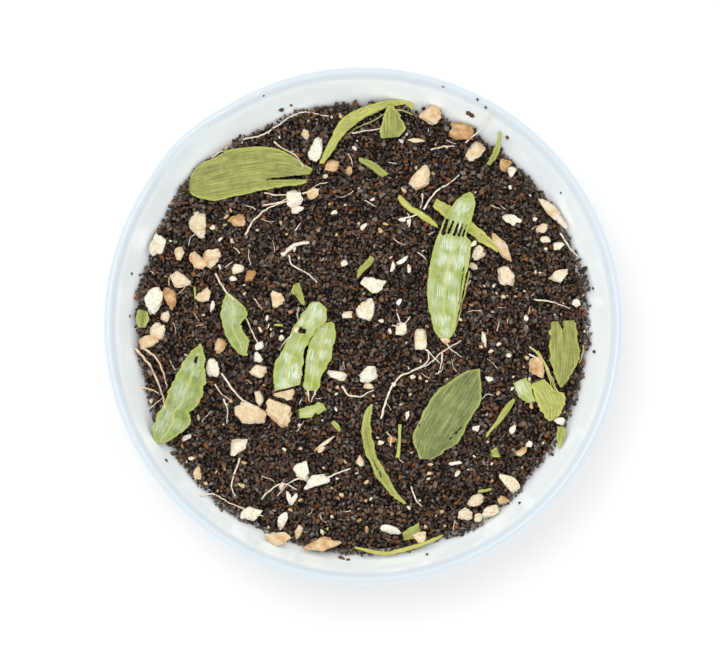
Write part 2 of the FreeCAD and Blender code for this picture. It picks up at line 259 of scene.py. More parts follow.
def dish():
    """The section swept round, with the rim pressed outwards and down at the spout, and a mark for the
    painted shade on the lip and in the spout.
    """
    section = dish_section()
    bearings = np.linspace(0, 360, DISH_AROUND, endpoint=False)
    apart = (bearings - SPOUT_BEARING + 180) % 360 - 180
    reach, notch = window(apart, SPOUT_SPREAD), window(apart, NOTCH_SPREAD)
    crest = int(np.argmax(section[:, 1]))
    rings, lip_painted_shade = [], []
    for place, (r, z) in enumerate(section):
        climb = max(0.0, (z - SPOUT_START * HEIGHT) / ((1 - SPOUT_START) * HEIGHT))
        flared = place > crest or r > RIM - LIP
        flare = NOTCH_FLARE * min(1, max(0, (RIM - r) / LIP)) * climb ** 2 if flared else 0
        radius = r + SPOUT_REACH * reach * climb ** 1.5 + flare * notch
        down = NOTCH_DEPTH * notch * climb ** 3
        rings.append(np.stack([radius * np.cos(np.radians(bearings)), radius * np.sin(np.radians(bearings)),
                               z - down], axis=1))
        # Painted shade: rises from below the shoulder to full over the lip, and fills the spout.
        on_lip = (z - SHOULDER + LIP_SHADE_BELOW) / (LIP / 2 + LIP_SHADE_BELOW - LIP_SHADE_SHORT)
        lip_painted_shade.append(np.maximum(min(1, max(0, on_lip)), SPOUT_PAINTED_SHADE * notch * climb ** 2))
    rings[0], rings[-1] = rings[0][:1], rings[-1][:1]
    lip_painted_shade = np.concatenate([shares[:len(ring)] for shares, ring in zip(lip_painted_shade, rings)])
    return new_piece("porcelain_dish", np.concatenate(rings), ring_faces(rings), glazed_porcelain(),
                     marks={"lip_painted_shade": lip_painted_shade})


settle(dish(), "porcelain", "dish")


# ---------------------------------------------------------------- the bed of tea
# Cut, torn and curled black tea: rolled pellets under a millimetre across, dry and almost black, poured in
# loose. The lower part is one solid with a rough top, and the loose pellets lie over it a millimetre deep.

TEA_LEVEL, TEA_CROWN = 16.0, 0.35
RIPPLE_HEIGHT, RIPPLE_LENGTH = 0.22, 19.0
PELLET_DEPTH = 1.25
CORE_AROUND, CORE_RINGS = 240, 48
CORE_ROUGH, CORE_PEAK = 0.12, 0.5
WALL_GAP, FLOOR_GAP = 0.05, 0.03
# The fines are darker than any pellet: partly the dust's own dark colour, partly painted shade in the gaps
# between pellets.
TEA_DUST_AND_SHADE, TEA_SHADE = "#0D0A09", "#1C1512"


def tea_height(x, y):
    """The level of the tea, in millimetres: a low crown with gentle ripples."""
    crown = TEA_CROWN * (1 - (x * x + y * y) / RIM ** 2)
    wave = 2 * np.pi / RIPPLE_LENGTH
    ripple = np.sin(wave * x + 0.6 * np.sin(wave * y * 0.7)) * np.cos(wave * y * 0.9 + 0.8)
    return TEA_LEVEL + crown + RIPPLE_HEIGHT * ripple


def wall_height(r):
    """How high the dish's inside stands at that distance from its middle, up to the crest of its lip."""
    section = dish_section()
    inside = section[int(np.argmax(section[:, 1])):][::-1]
    return np.interp(r, inside[:, 0], inside[:, 1])


def tea_dust_and_shade():
    """The fines between the pellets, dull with no gloss: their own dark brown, darkened to nearly black as
    painted shade for the gaps.
    """
    material, place = blank("tea_fines_and_shade")
    grit = noise(material, place, 1500.0, 3.0)
    return surface(material, {"Base Color": ramp(material, grit, (0.3, TEA_DUST_AND_SHADE), (0.7, TEA_SHADE)),
                              "Roughness": 0.9, "IOR": 1.4, "Normal": bumped(material, grit, 0.8, 0.1)})


def tea_core():
    """The bed under the pellets: a rough top out to the wall, and sides that follow the dish."""
    chance = np.random.default_rng(11)
    wall_r, wall_z = np.array(INNER_WALL).T
    brim = TEA_LEVEL - PELLET_DEPTH
    edge = float(np.interp(brim, wall_z, wall_r)) - WALL_GAP
    turns = np.linspace(0, 2 * np.pi, CORE_AROUND, endpoint=False)
    rings = [np.array([[0.0, 0.0, float(tea_height(0, 0)) - PELLET_DEPTH]])]
    for ring in range(1, CORE_RINGS + 1):
        r = edge * (ring / CORE_RINGS) ** 0.8
        x, y = r * np.cos(turns), r * np.sin(turns)
        level = np.full(CORE_AROUND, brim)
        if ring < CORE_RINGS:
            rough = chance.uniform(-CORE_ROUGH, CORE_ROUGH, CORE_AROUND)
            level = np.minimum(tea_height(x, y) - PELLET_DEPTH + rough, brim + CORE_PEAK)
        rings.append(np.stack([x, y, level], axis=1))
    for z in np.linspace(brim - 1.0, FLOOR + FLOOR_GAP, 8):
        r = float(np.interp(z, wall_z, wall_r)) - WALL_GAP
        rings.append(np.stack([r * np.cos(turns), r * np.sin(turns), np.full(CORE_AROUND, z)], axis=1))
    rings.append(np.array([[0.0, 0.0, FLOOR + FLOOR_GAP]]))
    return new_piece("tea_core", np.concatenate(rings), ring_faces(rings, inward=True), tea_dust_and_shade())


settle(tea_core(), "tea", "tea_bed")


# ---------------------------------------------------------------- the tea pellets
# The pellets are angular crumbs of rolled leaf, black, brown and grey, with a few russet bits of stalk. Each
# is dropped on what lies below it and rolls to the lowest place close by, so they pack as poured.

PELLETS = 22500
PELLET_ACROSS = (0.32, 0.86)
COARSE_PELLET = 0.74
PELLET_FLATNESS = 0.8
PELLET_TRIES, PELLET_ROLL = 6, 0.3
PELLET_SHAPES = 60
CELL = 0.1
REACH = 39.0
SIDE = int(2 * REACH / CELL) + 1
TEA_EDGE = 35.45
EDGE_WAVES = [(0.22, 5, 1), (0.16, 11, 0), (0.12, 23, 2)]
PELLET_KINDS = {
    "tea_pellets_black": (0.37, "#1F1916", "#554740"),
    "tea_pellets_brown": (0.38, "#37291F", "#866A55"),
    "tea_pellets_grey": (0.2, "#3E3733", "#938679"),
    "tea_pellets_russet": (0.05, "#47301F", "#9C6238"),
}

axis = np.linspace(-REACH, REACH, SIDE)
GRID_X, GRID_Y = np.meshgrid(axis, axis, indexing="ij")
heap = np.maximum(tea_height(GRID_X, GRID_Y) - PELLET_DEPTH, wall_height(np.hypot(GRID_X, GRID_Y)))


def cell_of(x, y):
    """The heap's cells that hold those places."""
    i = np.clip(np.rint((np.asarray(x) + REACH) / CELL).astype(int), 0, SIDE - 1)
    j = np.clip(np.rint((np.asarray(y) + REACH) / CELL).astype(int), 0, SIDE - 1)
    return i, j


def drop_pellets():
    """Where each pellet comes to rest, and its radius. Raises the heap under them."""
    chance = np.random.default_rng(5)
    resting = []
    for _ in range(PELLETS):
        radius = (PELLET_ACROSS[0] + (PELLET_ACROSS[1] - PELLET_ACROSS[0]) * chance.beta(1.6, 2.0)) / 2
        count = int(math.ceil(radius / CELL))
        span = np.arange(-count, count + 1) * CELL
        off_x, off_y = np.meshgrid(span, span, indexing="ij")
        inside = off_x ** 2 + off_y ** 2 < radius ** 2
        dome = PELLET_FLATNESS * np.sqrt(np.clip(radius ** 2 - off_x ** 2 - off_y ** 2, 0, None))
        out, turn = math.sqrt(chance.uniform()), chance.uniform(0, 2 * math.pi)
        out *= sum((size * math.sin(times * turn + start) for size, times, start in EDGE_WAVES), TEA_EDGE)
        best = None
        for tries in range(PELLET_TRIES):
            shift = chance.normal(0, PELLET_ROLL, 2) if tries else (0, 0)
            i, j = cell_of(out * math.cos(turn) + shift[0], out * math.sin(turn) + shift[1])
            patch = heap[i - count:i + count + 1, j - count:j + count + 1]
            level = (patch + dome)[inside].max()
            if best is None or level < best[0]:
                best = (level, i, j)
        level, i, j = best
        patch = heap[i - count:i + count + 1, j - count:j + count + 1]
        np.maximum(patch, level + dome, out=patch, where=inside)
        resting.append((axis[i], axis[j], level, radius))
    return np.array(resting)


def crumb_shapes(chance, count, rough, subdivisions):
    """A few unlike crumbs of about unit radius, with flats cut off them, and the faces that they share."""
    ball = bmesh.new()
    bmesh.ops.create_icosphere(ball, subdivisions=subdivisions, radius=1.0)
    points = np.array([v.co for v in ball.verts])
    faces = np.array([[v.index for v in f.verts] for f in ball.faces])
    ball.free()
    shapes = []
    for _ in range(count):
        shape = points * (1 + chance.uniform(-rough, rough, (len(points), 1)))
        for _ in range(4):
            way = chance.normal(size=3)
            way /= np.linalg.norm(way)
            over = np.clip(shape @ way - chance.uniform(0.55, 0.85), 0, None)
            shape = shape - over[:, None] * way
        shapes.append(shape)
    return np.array(shapes), faces


def turned_any_way(chance, count):
    """Random rotation matrices."""
    q = chance.normal(size=(count, 4))
    q /= np.linalg.norm(q, axis=1, keepdims=True)
    w, x, y, z = q.T
    rows = [1 - 2 * (y * y + z * z), 2 * (x * y - z * w), 2 * (x * z + y * w),
            2 * (x * y + z * w), 1 - 2 * (x * x + z * z), 2 * (y * z - x * w),
            2 * (x * z - y * w), 2 * (y * z + x * w), 1 - 2 * (x * x + y * y)]
    return np.stack(rows, axis=1).reshape(-1, 3, 3)


def scatter(name, chance, shapes, faces, centres, sizes, material):
    """One joined mesh of crumbs: each a random shape, turned at random, with a tone of its own."""
    count, each = len(centres), shapes.shape[1]
    picked = shapes[chance.integers(0, len(shapes), count)]
    turned = np.einsum("nij,nkj->nki", turned_any_way(chance, count), picked * sizes[:, None, :])
    vertices = (turned + centres[:, None, :]).reshape(-1, 3)
    all_faces = (faces[None] + np.arange(count)[:, None, None] * each).reshape(-1, 3)
    return new_piece(name, vertices, all_faces.tolist(), material, smooth=False,
                     marks={"tone": np.repeat(chance.uniform(0, 1, count), each)})


def rolled_leaf(name, dark, light):
    """Dry rolled leaf: a dull skin with a faint waxy sheen, each pellet a little different."""
    material, place = blank(name)
    grain = noise(material, place, 5000.0, 3.0, 0.65)
    mottle = stretched(material, grain, 0.36, 0.66)
    both = combined(material, "ADD", mark_of(material, "tone"), mottle)
    colour = ramp(material, combined(material, "MULTIPLY", both, 0.5), (0.15, dark), (0.85, light))
    return surface(material, {"Base Color": colour, "Roughness": 0.5, "IOR": 1.36,
                              "Normal": bumped(material, grain, 1.0, 0.12)})


def tea_pellets():
    """All the pellets: one piece for each colour, and one more for that colour's fines."""
    chance = np.random.default_rng(7)
    resting = drop_pellets()
    coarse, fine = crumb_shapes(chance, PELLET_SHAPES, 0.27, 2), crumb_shapes(chance, PELLET_SHAPES, 0.34, 1)
    lot = chance.uniform(0, 1, len(resting))
    start = 0.0
    for name, (share, dark, light) in PELLET_KINDS.items():
        leaf = rolled_leaf(name, dark, light)
        mine = resting[(lot >= start) & (lot < start + share)]
        start += share
        big = mine[:, 3] > COARSE_PELLET / 2
        for grade, (shapes, faces), part in (("", coarse, mine[big]), ("_fines", fine, mine[~big])):
            sizes = part[:, 3:4] * chance.uniform((1.05, 0.8, 0.6), (1.7, 1.15, 0.95), (len(part), 3))
            settle(scatter(name + grade, chance, shapes, faces, part[:, :3], sizes, leaf), "tea")


tea_pellets()


# ---------------------------------------------------------------- the cardamom husks
# Split and dried green cardamom pods: papery valves, ribbed lengthwise outside and pale, smooth and veined
# inside. They are torn, so their edges are ragged, and some have slits where only the long fibres hold.

covered = np.zeros_like(heap, bool)
HUSK_THICKNESS, THIN_EDGE, EDGE_TAPER = 0.3, 0.45, 0.8
HUSK_GRAIN = 0.17
RIB_HEIGHT, RIB_SPACING = 0.03, 0.55
REST_SHARE, REST_SUNK = 0.993, 0.12
RIM_WIDTH, VEIN_WIDTH = 0.33, 0.2
VEIN_YELLOW, RIM_GREEN, RUST, PAPER_GREEN = "#C6C47C", "#AFB95E", "#8A7A50", "#AEBA68"


def smooth_through(points, count):
    """Evenly many points of a smooth curve through the given ones."""
    p = np.array(points, float)
    p = np.vstack([2 * p[0] - p[1], p, 2 * p[-1] - p[-2]])
    t = np.linspace(0, len(points) - 1, count)
    i = np.minimum(t.astype(int), len(points) - 2)
    f = (t - i)[:, None]
    a, b, c, d = p[i], p[i + 1], p[i + 2], p[i + 3]
    bend, twist = 2 * a - 5 * b + 4 * c - d, 3 * b - a - 3 * c + d
    return 0.5 * (2 * b + (c - a) * f + bend * f ** 2 + twist * f ** 3)


def waves(chance, x, y, length):
    """Soft random hills between about -1 and 1, each roughly as long as asked."""
    total = np.zeros(np.shape(x))
    for _ in range(5):
        turn, phase = chance.uniform(0, 2 * np.pi, 2)
        size = 2 * np.pi / length * chance.uniform(0.6, 1.5)
        total += np.sin(size * (x * np.cos(turn) + y * np.sin(turn)) + phase)
    return total / 3


def gap_distance(x, y, gap):
    """How far inside a slit, tapered between two points, each place is; negative outside it."""
    (x0, y0), (x1, y1), wide0, wide1 = gap
    run = np.array([x1 - x0, y1 - y0])
    share = np.clip(((x - x0) * run[0] + (y - y0) * run[1]) / (run @ run), 0, 1)
    return wide0 + (wide1 - wide0) * share - np.hypot(x - x0 - share * run[0], y - y0 - share * run[1])


def rest_on_heap(x, y, z):
    """How much to lift a thing so that nearly all of it lies on the heap."""
    return float(np.quantile((heap[cell_of(x, y)] - z).ravel(), REST_SHARE))


def raise_heap(x, y, z):
    """What is dropped later lies on this."""
    i, j = cell_of(x, y)
    np.maximum.at(heap, (i.ravel(), j.ravel()), z.ravel())
    covered[i, j] = True


def shell_faces(kept):
    """The faces of a sheet with two sides, where only the kept squares of its lattice are there."""
    rows, columns = kept.shape[0] + 1, kept.shape[1] + 1
    number = np.arange(rows * columns).reshape(rows, columns)
    under = rows * columns
    faces = []
    for i, j in zip(*np.nonzero(kept)):
        ring = [number[i, j], number[i + 1, j], number[i + 1, j + 1], number[i, j + 1]]
        faces += [ring, [k + under for k in ring[::-1]]]
        beyond = ((i, j - 1), (i + 1, j), (i, j + 1), (i - 1, j))
        for side, (m, n) in enumerate(beyond):
            if not (0 <= m < rows - 1 and 0 <= n < columns - 1 and kept[m, n]):
                p, q = ring[side], ring[(side + 1) % 4]
                faces.append([q, p, p + under, q + under])
    return faces


def valve(seed, left, right, curl, skin, gaps=(), spots=(), ragged=0.1, crumple=0.12, bow=0.35):
    """A torn valve between two edges, each a list of (x, y). Gives its points, faces and surface marks.

    The skin side is arched up in the middle, and the lining side is a shallow trough.
    """
    chance = np.random.default_rng(seed)
    left, right = np.array(left, float), np.array(right, float)
    length = np.hypot(*np.diff((left + right) / 2, axis=0).T).sum()
    width = np.hypot(*(right - left).T).max()
    rows, columns = max(int(length / HUSK_GRAIN), 6), max(int(width / HUSK_GRAIN), 5)
    a, b = smooth_through(left, rows), smooth_through(right, rows)
    across = (b - a) / np.maximum(np.hypot(*(b - a).T), 0.05)[:, None]
    tear = np.cumsum(chance.normal(0, 1, (2, rows)), axis=1)
    tear -= np.array([np.convolve(np.pad(t, 6, "edge"), np.ones(13) / 13, "valid") for t in tear])
    tear *= ragged * np.minimum(1, 0.3 + 0.15 * width)
    a, b = a + across * tear[0][:, None], b + across * tear[1][:, None]
    u, v = np.linspace(-1, 1, rows)[:, None], np.linspace(0, 1, columns)
    x = a[:, :1] * (1 - v) + b[:, :1] * v
    y = a[:, 1:] * (1 - v) + b[:, 1:] * v

    local = np.minimum(np.hypot(*(b - a).T) / width, 1)[:, None]
    arch = curl * local * (1 - np.abs(2 * v - 1) ** 2.2)
    z = arch + bow * (1 - u ** 2) if skin else curl * local - arch + 0.4 * bow * u ** 2
    z = z + crumple * waves(chance, x, y, 5.0) + 0.4 * crumple * waves(chance, x, y, 1.8)
    fade = np.minimum(1, 6 * np.minimum(v, 1 - v))
    middle = np.array([np.polyval(np.polyfit(u[:, 0], m, 3), u[:, 0]) for m in ((a + b) / 2).T])[..., None]
    heading = np.gradient(middle, axis=1)
    heading /= np.hypot(*heading)
    over = ((x - middle[0]) * heading[1] - (y - middle[1]) * heading[0]) / (1 - 0.35 * u ** 2)
    ribs = np.sin(2 * np.pi * over / RIB_SPACING + chance.uniform(0, 6))
    z = z + (RIB_HEIGHT if skin else 0.4 * RIB_HEIGHT) * ribs * fade
    end_x, end_y = x[[0, -1]].mean(axis=1), y[[0, -1]].mean(axis=1)
    ends = np.maximum(tea_height(end_x, end_y), wall_height(np.hypot(end_x, end_y)))
    z = z + ends[0] * (1 - u) / 2 + ends[1] * (1 + u) / 2
    z = z + (rest_on_heap(x, y, z - HUSK_THICKNESS) - REST_SUNK)
    raise_heap(x, y, z)

    top = np.stack([x, y, z], axis=-1)
    normal = np.cross(np.gradient(top, axis=0), np.gradient(top, axis=1))
    normal /= np.linalg.norm(normal, axis=-1, keepdims=True) + 1e-9
    normal *= np.sign(normal[..., 2:] + 1e-9)
    edge = np.minimum(v, 1 - v) * np.hypot(*(b - a).T)[:, None]
    thick = HUSK_THICKNESS * np.clip(THIN_EDGE + edge / EDGE_TAPER, THIN_EDGE, 1)
    points = np.concatenate([top.reshape(-1, 3), (top - normal * thick[..., None]).reshape(-1, 3)])
    kept = np.ones((rows - 1, columns - 1), bool)
    for gap in gaps:
        kept &= gap_distance((x[1:, 1:] + x[:-1, :-1]) / 2, (y[1:, 1:] + y[:-1, :-1]) / 2, gap) < 0

    pale = np.clip(0.25 + 0.45 * waves(chance, x, y, 3.2), 0, 1)
    for spot_x, spot_y, reach in spots:
        away = np.hypot(x - spot_x, y - spot_y) / reach + 0.3 * waves(chance, x, y, 1.3)
        pale = np.maximum(pale, np.clip(1.3 * (1.3 - away), 0, 1))
    marks = {"rim": np.exp(-(edge / RIM_WIDTH) ** 2), "pale": pale, "rib": 0.5 + 0.5 * ribs * fade,
             "vein": np.exp(-((v - 0.5) * width / VEIN_WIDTH) ** 2) * np.ones_like(x),
             "over": over + 10 * seed, "along": length * (u + 1) / 2 * np.ones_like(x)}
    return points, shell_faces(kept), {name: np.tile(mark.ravel(), 2) for name, mark in marks.items()}


def joined(name, parts, material):
    """One piece from several shells, with only the points that their faces use."""
    points, faces, marks, start = [], [], {}, 0
    for part_points, part_faces, part_marks in parts:
        used = np.unique(np.concatenate([np.ravel(face) for face in part_faces]))
        place = np.full(len(part_points), -1)
        place[used] = np.arange(len(used)) + start
        faces += [[int(place[k]) for k in face] for face in part_faces]
        points.append(part_points[used])
        for mark, values in part_marks.items():
            marks.setdefault(mark, []).append(values[used])
        start += len(used)
    marks = {mark: np.concatenate(values) for mark, values in marks.items()}
    return new_piece(name, np.concatenate(points), faces, material, marks=marks)


def fibres(material, detail, stretch):
    """Fine streaks that run lengthwise, by how far over and along the husk a place is, in millimetres."""
    over = mark_of(material, "over", detail)
    along = mark_of(material, "along", detail / stretch)
    place = step(material, "CombineXYZ", {"X": over, "Y": along}).outputs["Vector"]
    return noise(material, place, 1.0, 3.0, 0.55)


def husk_skin(name, dark, middle, light, rim):
    """The outside of a dried pod: paler and darker fibres, rusty specks, and a yellower torn rim."""
    material, place = blank(name)
    cloud = noise(material, place, 700.0, 6.0, 0.8)
    colour = ramp(material, cloud, (0.2, dark), (0.8, light), (0.5, middle))
    colour = mixed(material, mark_of(material, "rib", 0.2), colour, light)
    streak = fibres(material, 8.5, 34.0)
    colour = mixed(material, stretched(material, streak, 0.38, 0.5, 0.6, 0.0), colour, dark)
    colour = mixed(material, stretched(material, streak, 0.53, 0.63, 0.0, 0.8), colour, light)
    colour = mixed(material, mark_of(material, "rim", 0.85), colour, rim)
    speck = step(material, "TexVoronoi", {"Vector": place, "Scale": 900.0}).outputs["Distance"]
    colour = mixed(material, stretched(material, speck, 0.12, 0.2, 0.5, 0.0), colour, RUST)
    return surface(material, {
        "Base Color": colour, "Normal": bumped(material, streak, 0.9, 0.1), "Roughness": 0.62, "IOR": 1.4,
        "Subsurface Weight": 0.05, "Subsurface Radius": (0.0006, 0.0008, 0.0003)})


def husk_lining(name, green, white):
    """The inside of a pod: papery and pale, with whitish patches, a yellow vein and a yellow-green rim."""
    material, place = blank(name)
    colour = ramp(material, noise(material, place, 800.0, 6.0, 0.8), (0.3, green), (0.72, PAPER_GREEN))
    streak = fibres(material, 6.5, 14.0)
    patch = stretched(material, streak, 0.34, 0.6, 0.1, 1.0)
    patch = combined(material, "MULTIPLY", mark_of(material, "pale"), patch)
    colour = mixed(material, patch, colour, white)
    colour = mixed(material, stretched(material, streak, 0.34, 0.46, 0.6, 0.0), colour, green)
    colour = mixed(material, mark_of(material, "vein", 0.7), colour, VEIN_YELLOW)
    colour = mixed(material, mark_of(material, "rim", 0.8), colour, RIM_GREEN)
    return surface(material, {
        "Base Color": colour, "Normal": bumped(material, streak, 0.7, 0.1), "Roughness": 0.6, "IOR": 1.4,
        "Subsurface Weight": 0.08, "Subsurface Radius": (0.0008, 0.001, 0.0005)})


olive = husk_skin("husk_skin_olive", "#5F622F", "#8C9047", "#B4B86C", "#C0C76A")
green = husk_skin("husk_skin_green", "#434C2B", "#727B43", "#A0A86A", "#B6C46C")
yellow = husk_skin("husk_skin_yellow", "#7C7E3A", "#A6A955", "#CACC7E", "#D0CC6A")
lining = husk_lining("husk_lining_pale", "#82913C", "#D1DAC6")
dull_lining = husk_lining("husk_lining_dull", "#637335", "#B4C0A2")


def husk(name, finish, *shape, **details):
    """One large valve, which stands for the node of its own name."""
    settle(joined(name, [valve(*shape, **details)], finish), "husk", name)


# Strips that the large valves lie over: a long one under the upright valve, and one beside it.
under_strips = [
    valve(21, [(11.6, 20.1), (13.5, 19.0), (15.1, 18.2), (16.9, 16.6), (18.9, 14.9), (20.5, 13.4),
          (21.4, 12.0)], [(10.9, 18.8), (12.6, 17.4), (14.3, 16.6), (15.8, 15.4), (17.5, 13.9), (19.6, 12.5),
          (21.1, 11.7)], 0.25, True, bow=0.1, crumple=0.06),
    valve(22, [(5.7, 20.7), (7.3, 19.3), (9.2, 18.0), (11.0, 16.8), (11.8, 15.7)], [(5.4, 20.1), (6.7, 18.5),
          (8.5, 17.3), (10.7, 16.0), (11.6, 15.5)], 0.25, True, bow=0.1),
]
settle(joined("husk_under_strips", under_strips, yellow), "husk")

# The twelve large valves: a seed, the left edge, the right edge, the curl, and whether the skin is on top.
husk("husk_upper_left", olive, 1,
     [(-27.1, 22.2), (-26.7, 23.8), (-25.5, 25.2), (-23.1, 26.4), (-20.8, 27.6), (-18.3, 28.0), (-16.0, 28.1),
      (-13.8, 27.9), (-11.5, 27.0), (-9.6, 25.7), (-7.8, 24.7)],
     [(-27.1, 21.3), (-26.6, 20.5), (-25.0, 19.9), (-23.1, 19.6), (-20.7, 20.1), (-18.0, 20.7), (-15.4, 21.3),
      (-12.6, 21.8), (-10.2, 22.1), (-9.0, 22.4), (-8.8, 22.6)],
     1.1, True, gaps=[((-14.9, 22.9), (-8.4, 23.4), 0.08, 0.42)], ragged=0.04)
husk("husk_top", yellow, 2,
     [(-6.8, 25.5), (-6.2, 27.0), (-5.3, 28.9), (-4.5, 30.6), (-3.6, 32.2), (-2.2, 33.3), (-0.5, 34.2),
      (1.6, 34.9), (3.4, 35.4), (5.3, 35.6), (6.8, 35.5), (8.1, 34.7)],
     [(-6.1, 25.5), (-4.8, 27.2), (-3.6, 29.1), (-2.5, 30.5), (-1.2, 31.6), (0.2, 32.6), (1.6, 33.3),
      (3.1, 34.0), (4.7, 34.5), (5.9, 34.8), (6.8, 34.8), (7.8, 34.0)],
     0.6, True, ragged=0.06, bow=0.5)
husk("husk_upright", lining, 3,
     [(16.8, 21.1), (15.1, 20.1), (13.7, 18.4), (13.0, 17.1), (12.1, 15.1), (11.3, 13.1), (10.6, 10.1),
      (10.1, 7.0), (10.1, 4.2), (10.6, 1.4), (11.3, -0.9), (12.0, -1.8)],
     [(17.2, 20.8), (17.5, 19.4), (17.2, 17.7), (16.8, 16.3), (16.1, 14.2), (16.8, 13.1), (16.5, 10.1),
      (15.8, 7.0), (15.2, 3.9), (14.6, 1.1), (14.0, -1.1), (13.2, -2.0)],
     0.75, False, ragged=0.04, bow=0.3, gaps=[((13.2, 16.6), (12.6, 14.6), 0.28, 0.34), ((14.1, 16.4),
      (13.4, 14.7), 0.2, 0.24), ((14.9, 16.2), (14.3, 14.4), 0.2, 0.24), ((15.6, 16.0), (15.0, 14.3), 0.18,
      0.24), ((16.2, 15.8), (15.6, 14.2), 0.15, 0.2), ((15.7, 9.4), (14.9, 3.4), 0.05, 0.1)],
      spots=[(13.4, 12.9, 1.2), (15.4, 18.6, 1.3), (14.9, 10.3, 1.3), (12.2, 10.3, 0.9), (13.4, 7.6, 1.0),
      (12.0, 5.5, 1.0), (14.0, 4.4, 0.9), (12.5, 1.0, 1.0), (13.0, -0.9, 0.8)])
husk("husk_left", dull_lining, 4,
     [(-25.3, -2.8), (-26.4, -3.9), (-27.5, -5.1), (-28.3, -6.5), (-28.9, -7.9), (-29.7, -9.4),
      (-30.3, -10.8), (-30.7, -12.2), (-31.5, -13.3), (-32.1, -14.6), (-32.5, -16.1), (-32.5, -17.5),
      (-31.8, -18.3)],
     [(-25.1, -2.7), (-24.8, -3.9), (-24.5, -5.2), (-24.5, -6.8), (-24.5, -8.4), (-24.7, -9.9),
      (-25.2, -11.6), (-26.2, -13.0), (-27.0, -13.3), (-26.6, -14.6), (-27.5, -16.1), (-29.5, -17.5),
      (-30.6, -18.3)],
     0.6, False, ragged=0.09, crumple=0.2, gaps=[((-25.8, -4.9), (-26.0, -5.6), 0.2, 0.25)],
      spots=[(-27.3, -6.4, 0.8), (-26.0, -7.4, 0.6), (-28.2, -10.2, 1.5), (-31.4, -15.6, 1.3),
      (-30.2, -14.0, 0.8)])
husk("husk_small_left", dull_lining, 5,
     [(-21.1, 5.0), (-21.7, 3.9), (-22.0, 2.5), (-22.0, 1.3), (-21.7, 0.0), (-21.3, -1.2), (-20.7, -2.5),
      (-19.7, -3.7), (-18.6, -4.6)],
     [(-20.7, 5.0), (-19.7, 4.1), (-18.3, 2.7), (-18.0, 1.7), (-18.9, 0.5), (-18.6, -0.9), (-17.7, -2.1),
      (-18.0, -3.5), (-17.9, -4.6)],
     0.5, False, ragged=0.08, gaps=[((-18.4, 0.4), (-19.0, 0.2), 0.3, 0.15)], spots=[(-20.6, 2.6, 1.3),
      (-20.4, 0.6, 0.8)])
husk("husk_middle", lining, 6,
     [(-7.8, 3.8), (-9.0, 2.4), (-9.9, 1.1), (-10.9, -0.6), (-11.6, -2.1), (-12.4, -3.7), (-13.4, -5.4),
      (-13.8, -6.8), (-13.8, -8.4), (-13.6, -10.1)],
     [(-6.8, 3.8), (-5.7, 2.5), (-5.9, 0.8), (-7.5, -0.9), (-8.5, -2.5), (-9.2, -4.0), (-9.3, -5.6),
      (-9.5, -6.8), (-9.6, -8.0), (-9.8, -9.1)],
     0.6, False, ragged=0.06, gaps=[((-9.7, -0.6), (-9.1, -0.7), 0.42, 0.36)], spots=[(-7.4, 2.2, 1.4),
      (-9.6, 0.6, 0.8), (-11.8, -4.9, 0.9), (-10.6, -7.2, 1.6), (-12.2, -9.0, 1.1)])
husk("husk_middle_right", lining, 7,
     [(-6.1, 0.5), (-7.1, -0.4), (-7.9, -1.7), (-8.4, -3.2), (-8.7, -4.8), (-8.9, -6.3), (-9.0, -7.9),
      (-9.2, -9.3), (-8.9, -9.9)],
     [(-4.8, 0.8), (-4.3, -0.3), (-4.3, -1.8), (-4.7, -3.4), (-5.0, -4.9), (-5.7, -6.5), (-6.5, -7.7),
      (-6.7, -9.1), (-7.1, -10.1)],
     0.45, False, ragged=0.07, spots=[(-8.0, -4.4, 0.8), (-6.2, -4.4, 0.8), (-5.4, -2.4, 0.6)])
husk("husk_lower_right", green, 8,
     [(17.5, -6.6), (16.0, -7.0), (14.4, -7.9), (13.0, -9.0), (11.6, -9.9), (10.6, -11.3), (9.6, -13.0),
      (8.7, -14.9), (7.9, -16.6), (7.8, -17.8), (8.4, -19.4), (8.9, -20.6)],
     [(18.2, -6.5), (18.4, -8.2), (18.5, -9.9), (18.4, -11.6), (17.7, -12.9), (16.9, -14.1), (16.3, -15.3),
      (15.5, -16.9), (14.6, -18.3), (13.0, -19.1), (12.3, -19.8), (10.7, -20.7)],
     1.1, True, ragged=0.045, gaps=[((14.3, -16.7), (14.7, -16.4), 0.16, 0.12), ((15.0, -16.1), (15.3, -15.7),
      0.16, 0.16), ((13.4, -17.6), (13.8, -17.3), 0.1, 0.1)])
husk("husk_right", olive, 9,
     [(29.5, 0.9), (29.3, -0.4), (29.1, -2.1), (29.1, -3.7), (29.3, -5.2), (29.7, -6.8), (30.3, -8.4),
      (30.9, -9.4)],
     [(33.2, 1.1), (33.5, -0.6), (33.7, -2.3), (34.0, -3.9), (33.7, -5.2), (32.9, -6.8), (32.0, -8.2),
      (31.1, -9.4)],
     0.7, True, ragged=0.1, gaps=[((30.8, 1.2), (31.2, -0.2), 0.4, 0.12)])
husk("husk_right_low", yellow, 10,
     [(26.4, -8.8), (26.4, -9.9), (26.9, -11.3), (27.5, -12.7), (28.3, -13.9), (28.9, -14.7)],
     [(28.3, -8.1), (29.8, -9.8), (31.4, -10.5), (31.4, -12.1), (30.7, -13.6), (29.5, -14.6)],
     0.6, True, ragged=0.1)
husk("strip_middle", olive, 11,
     [(1.2, -12.1), (0.5, -13.0), (0.0, -14.3), (-0.2, -16.0), (0.0, -17.7), (0.2, -19.2), (0.8, -20.5),
      (1.4, -21.7), (1.9, -23.1), (2.8, -24.3), (3.9, -25.6), (5.1, -26.8), (6.5, -27.6)],
     [(1.6, -12.1), (1.5, -13.2), (1.2, -14.4), (1.3, -16.0), (1.6, -17.7), (1.9, -19.1), (2.2, -20.2),
      (2.8, -21.4), (3.6, -22.6), (4.3, -24.0), (5.0, -25.3), (5.9, -26.5), (6.8, -27.4)],
     0.4, True, ragged=0.1, gaps=[((1.5, -20.6), (2.9, -23.4), 0.06, 0.1)])
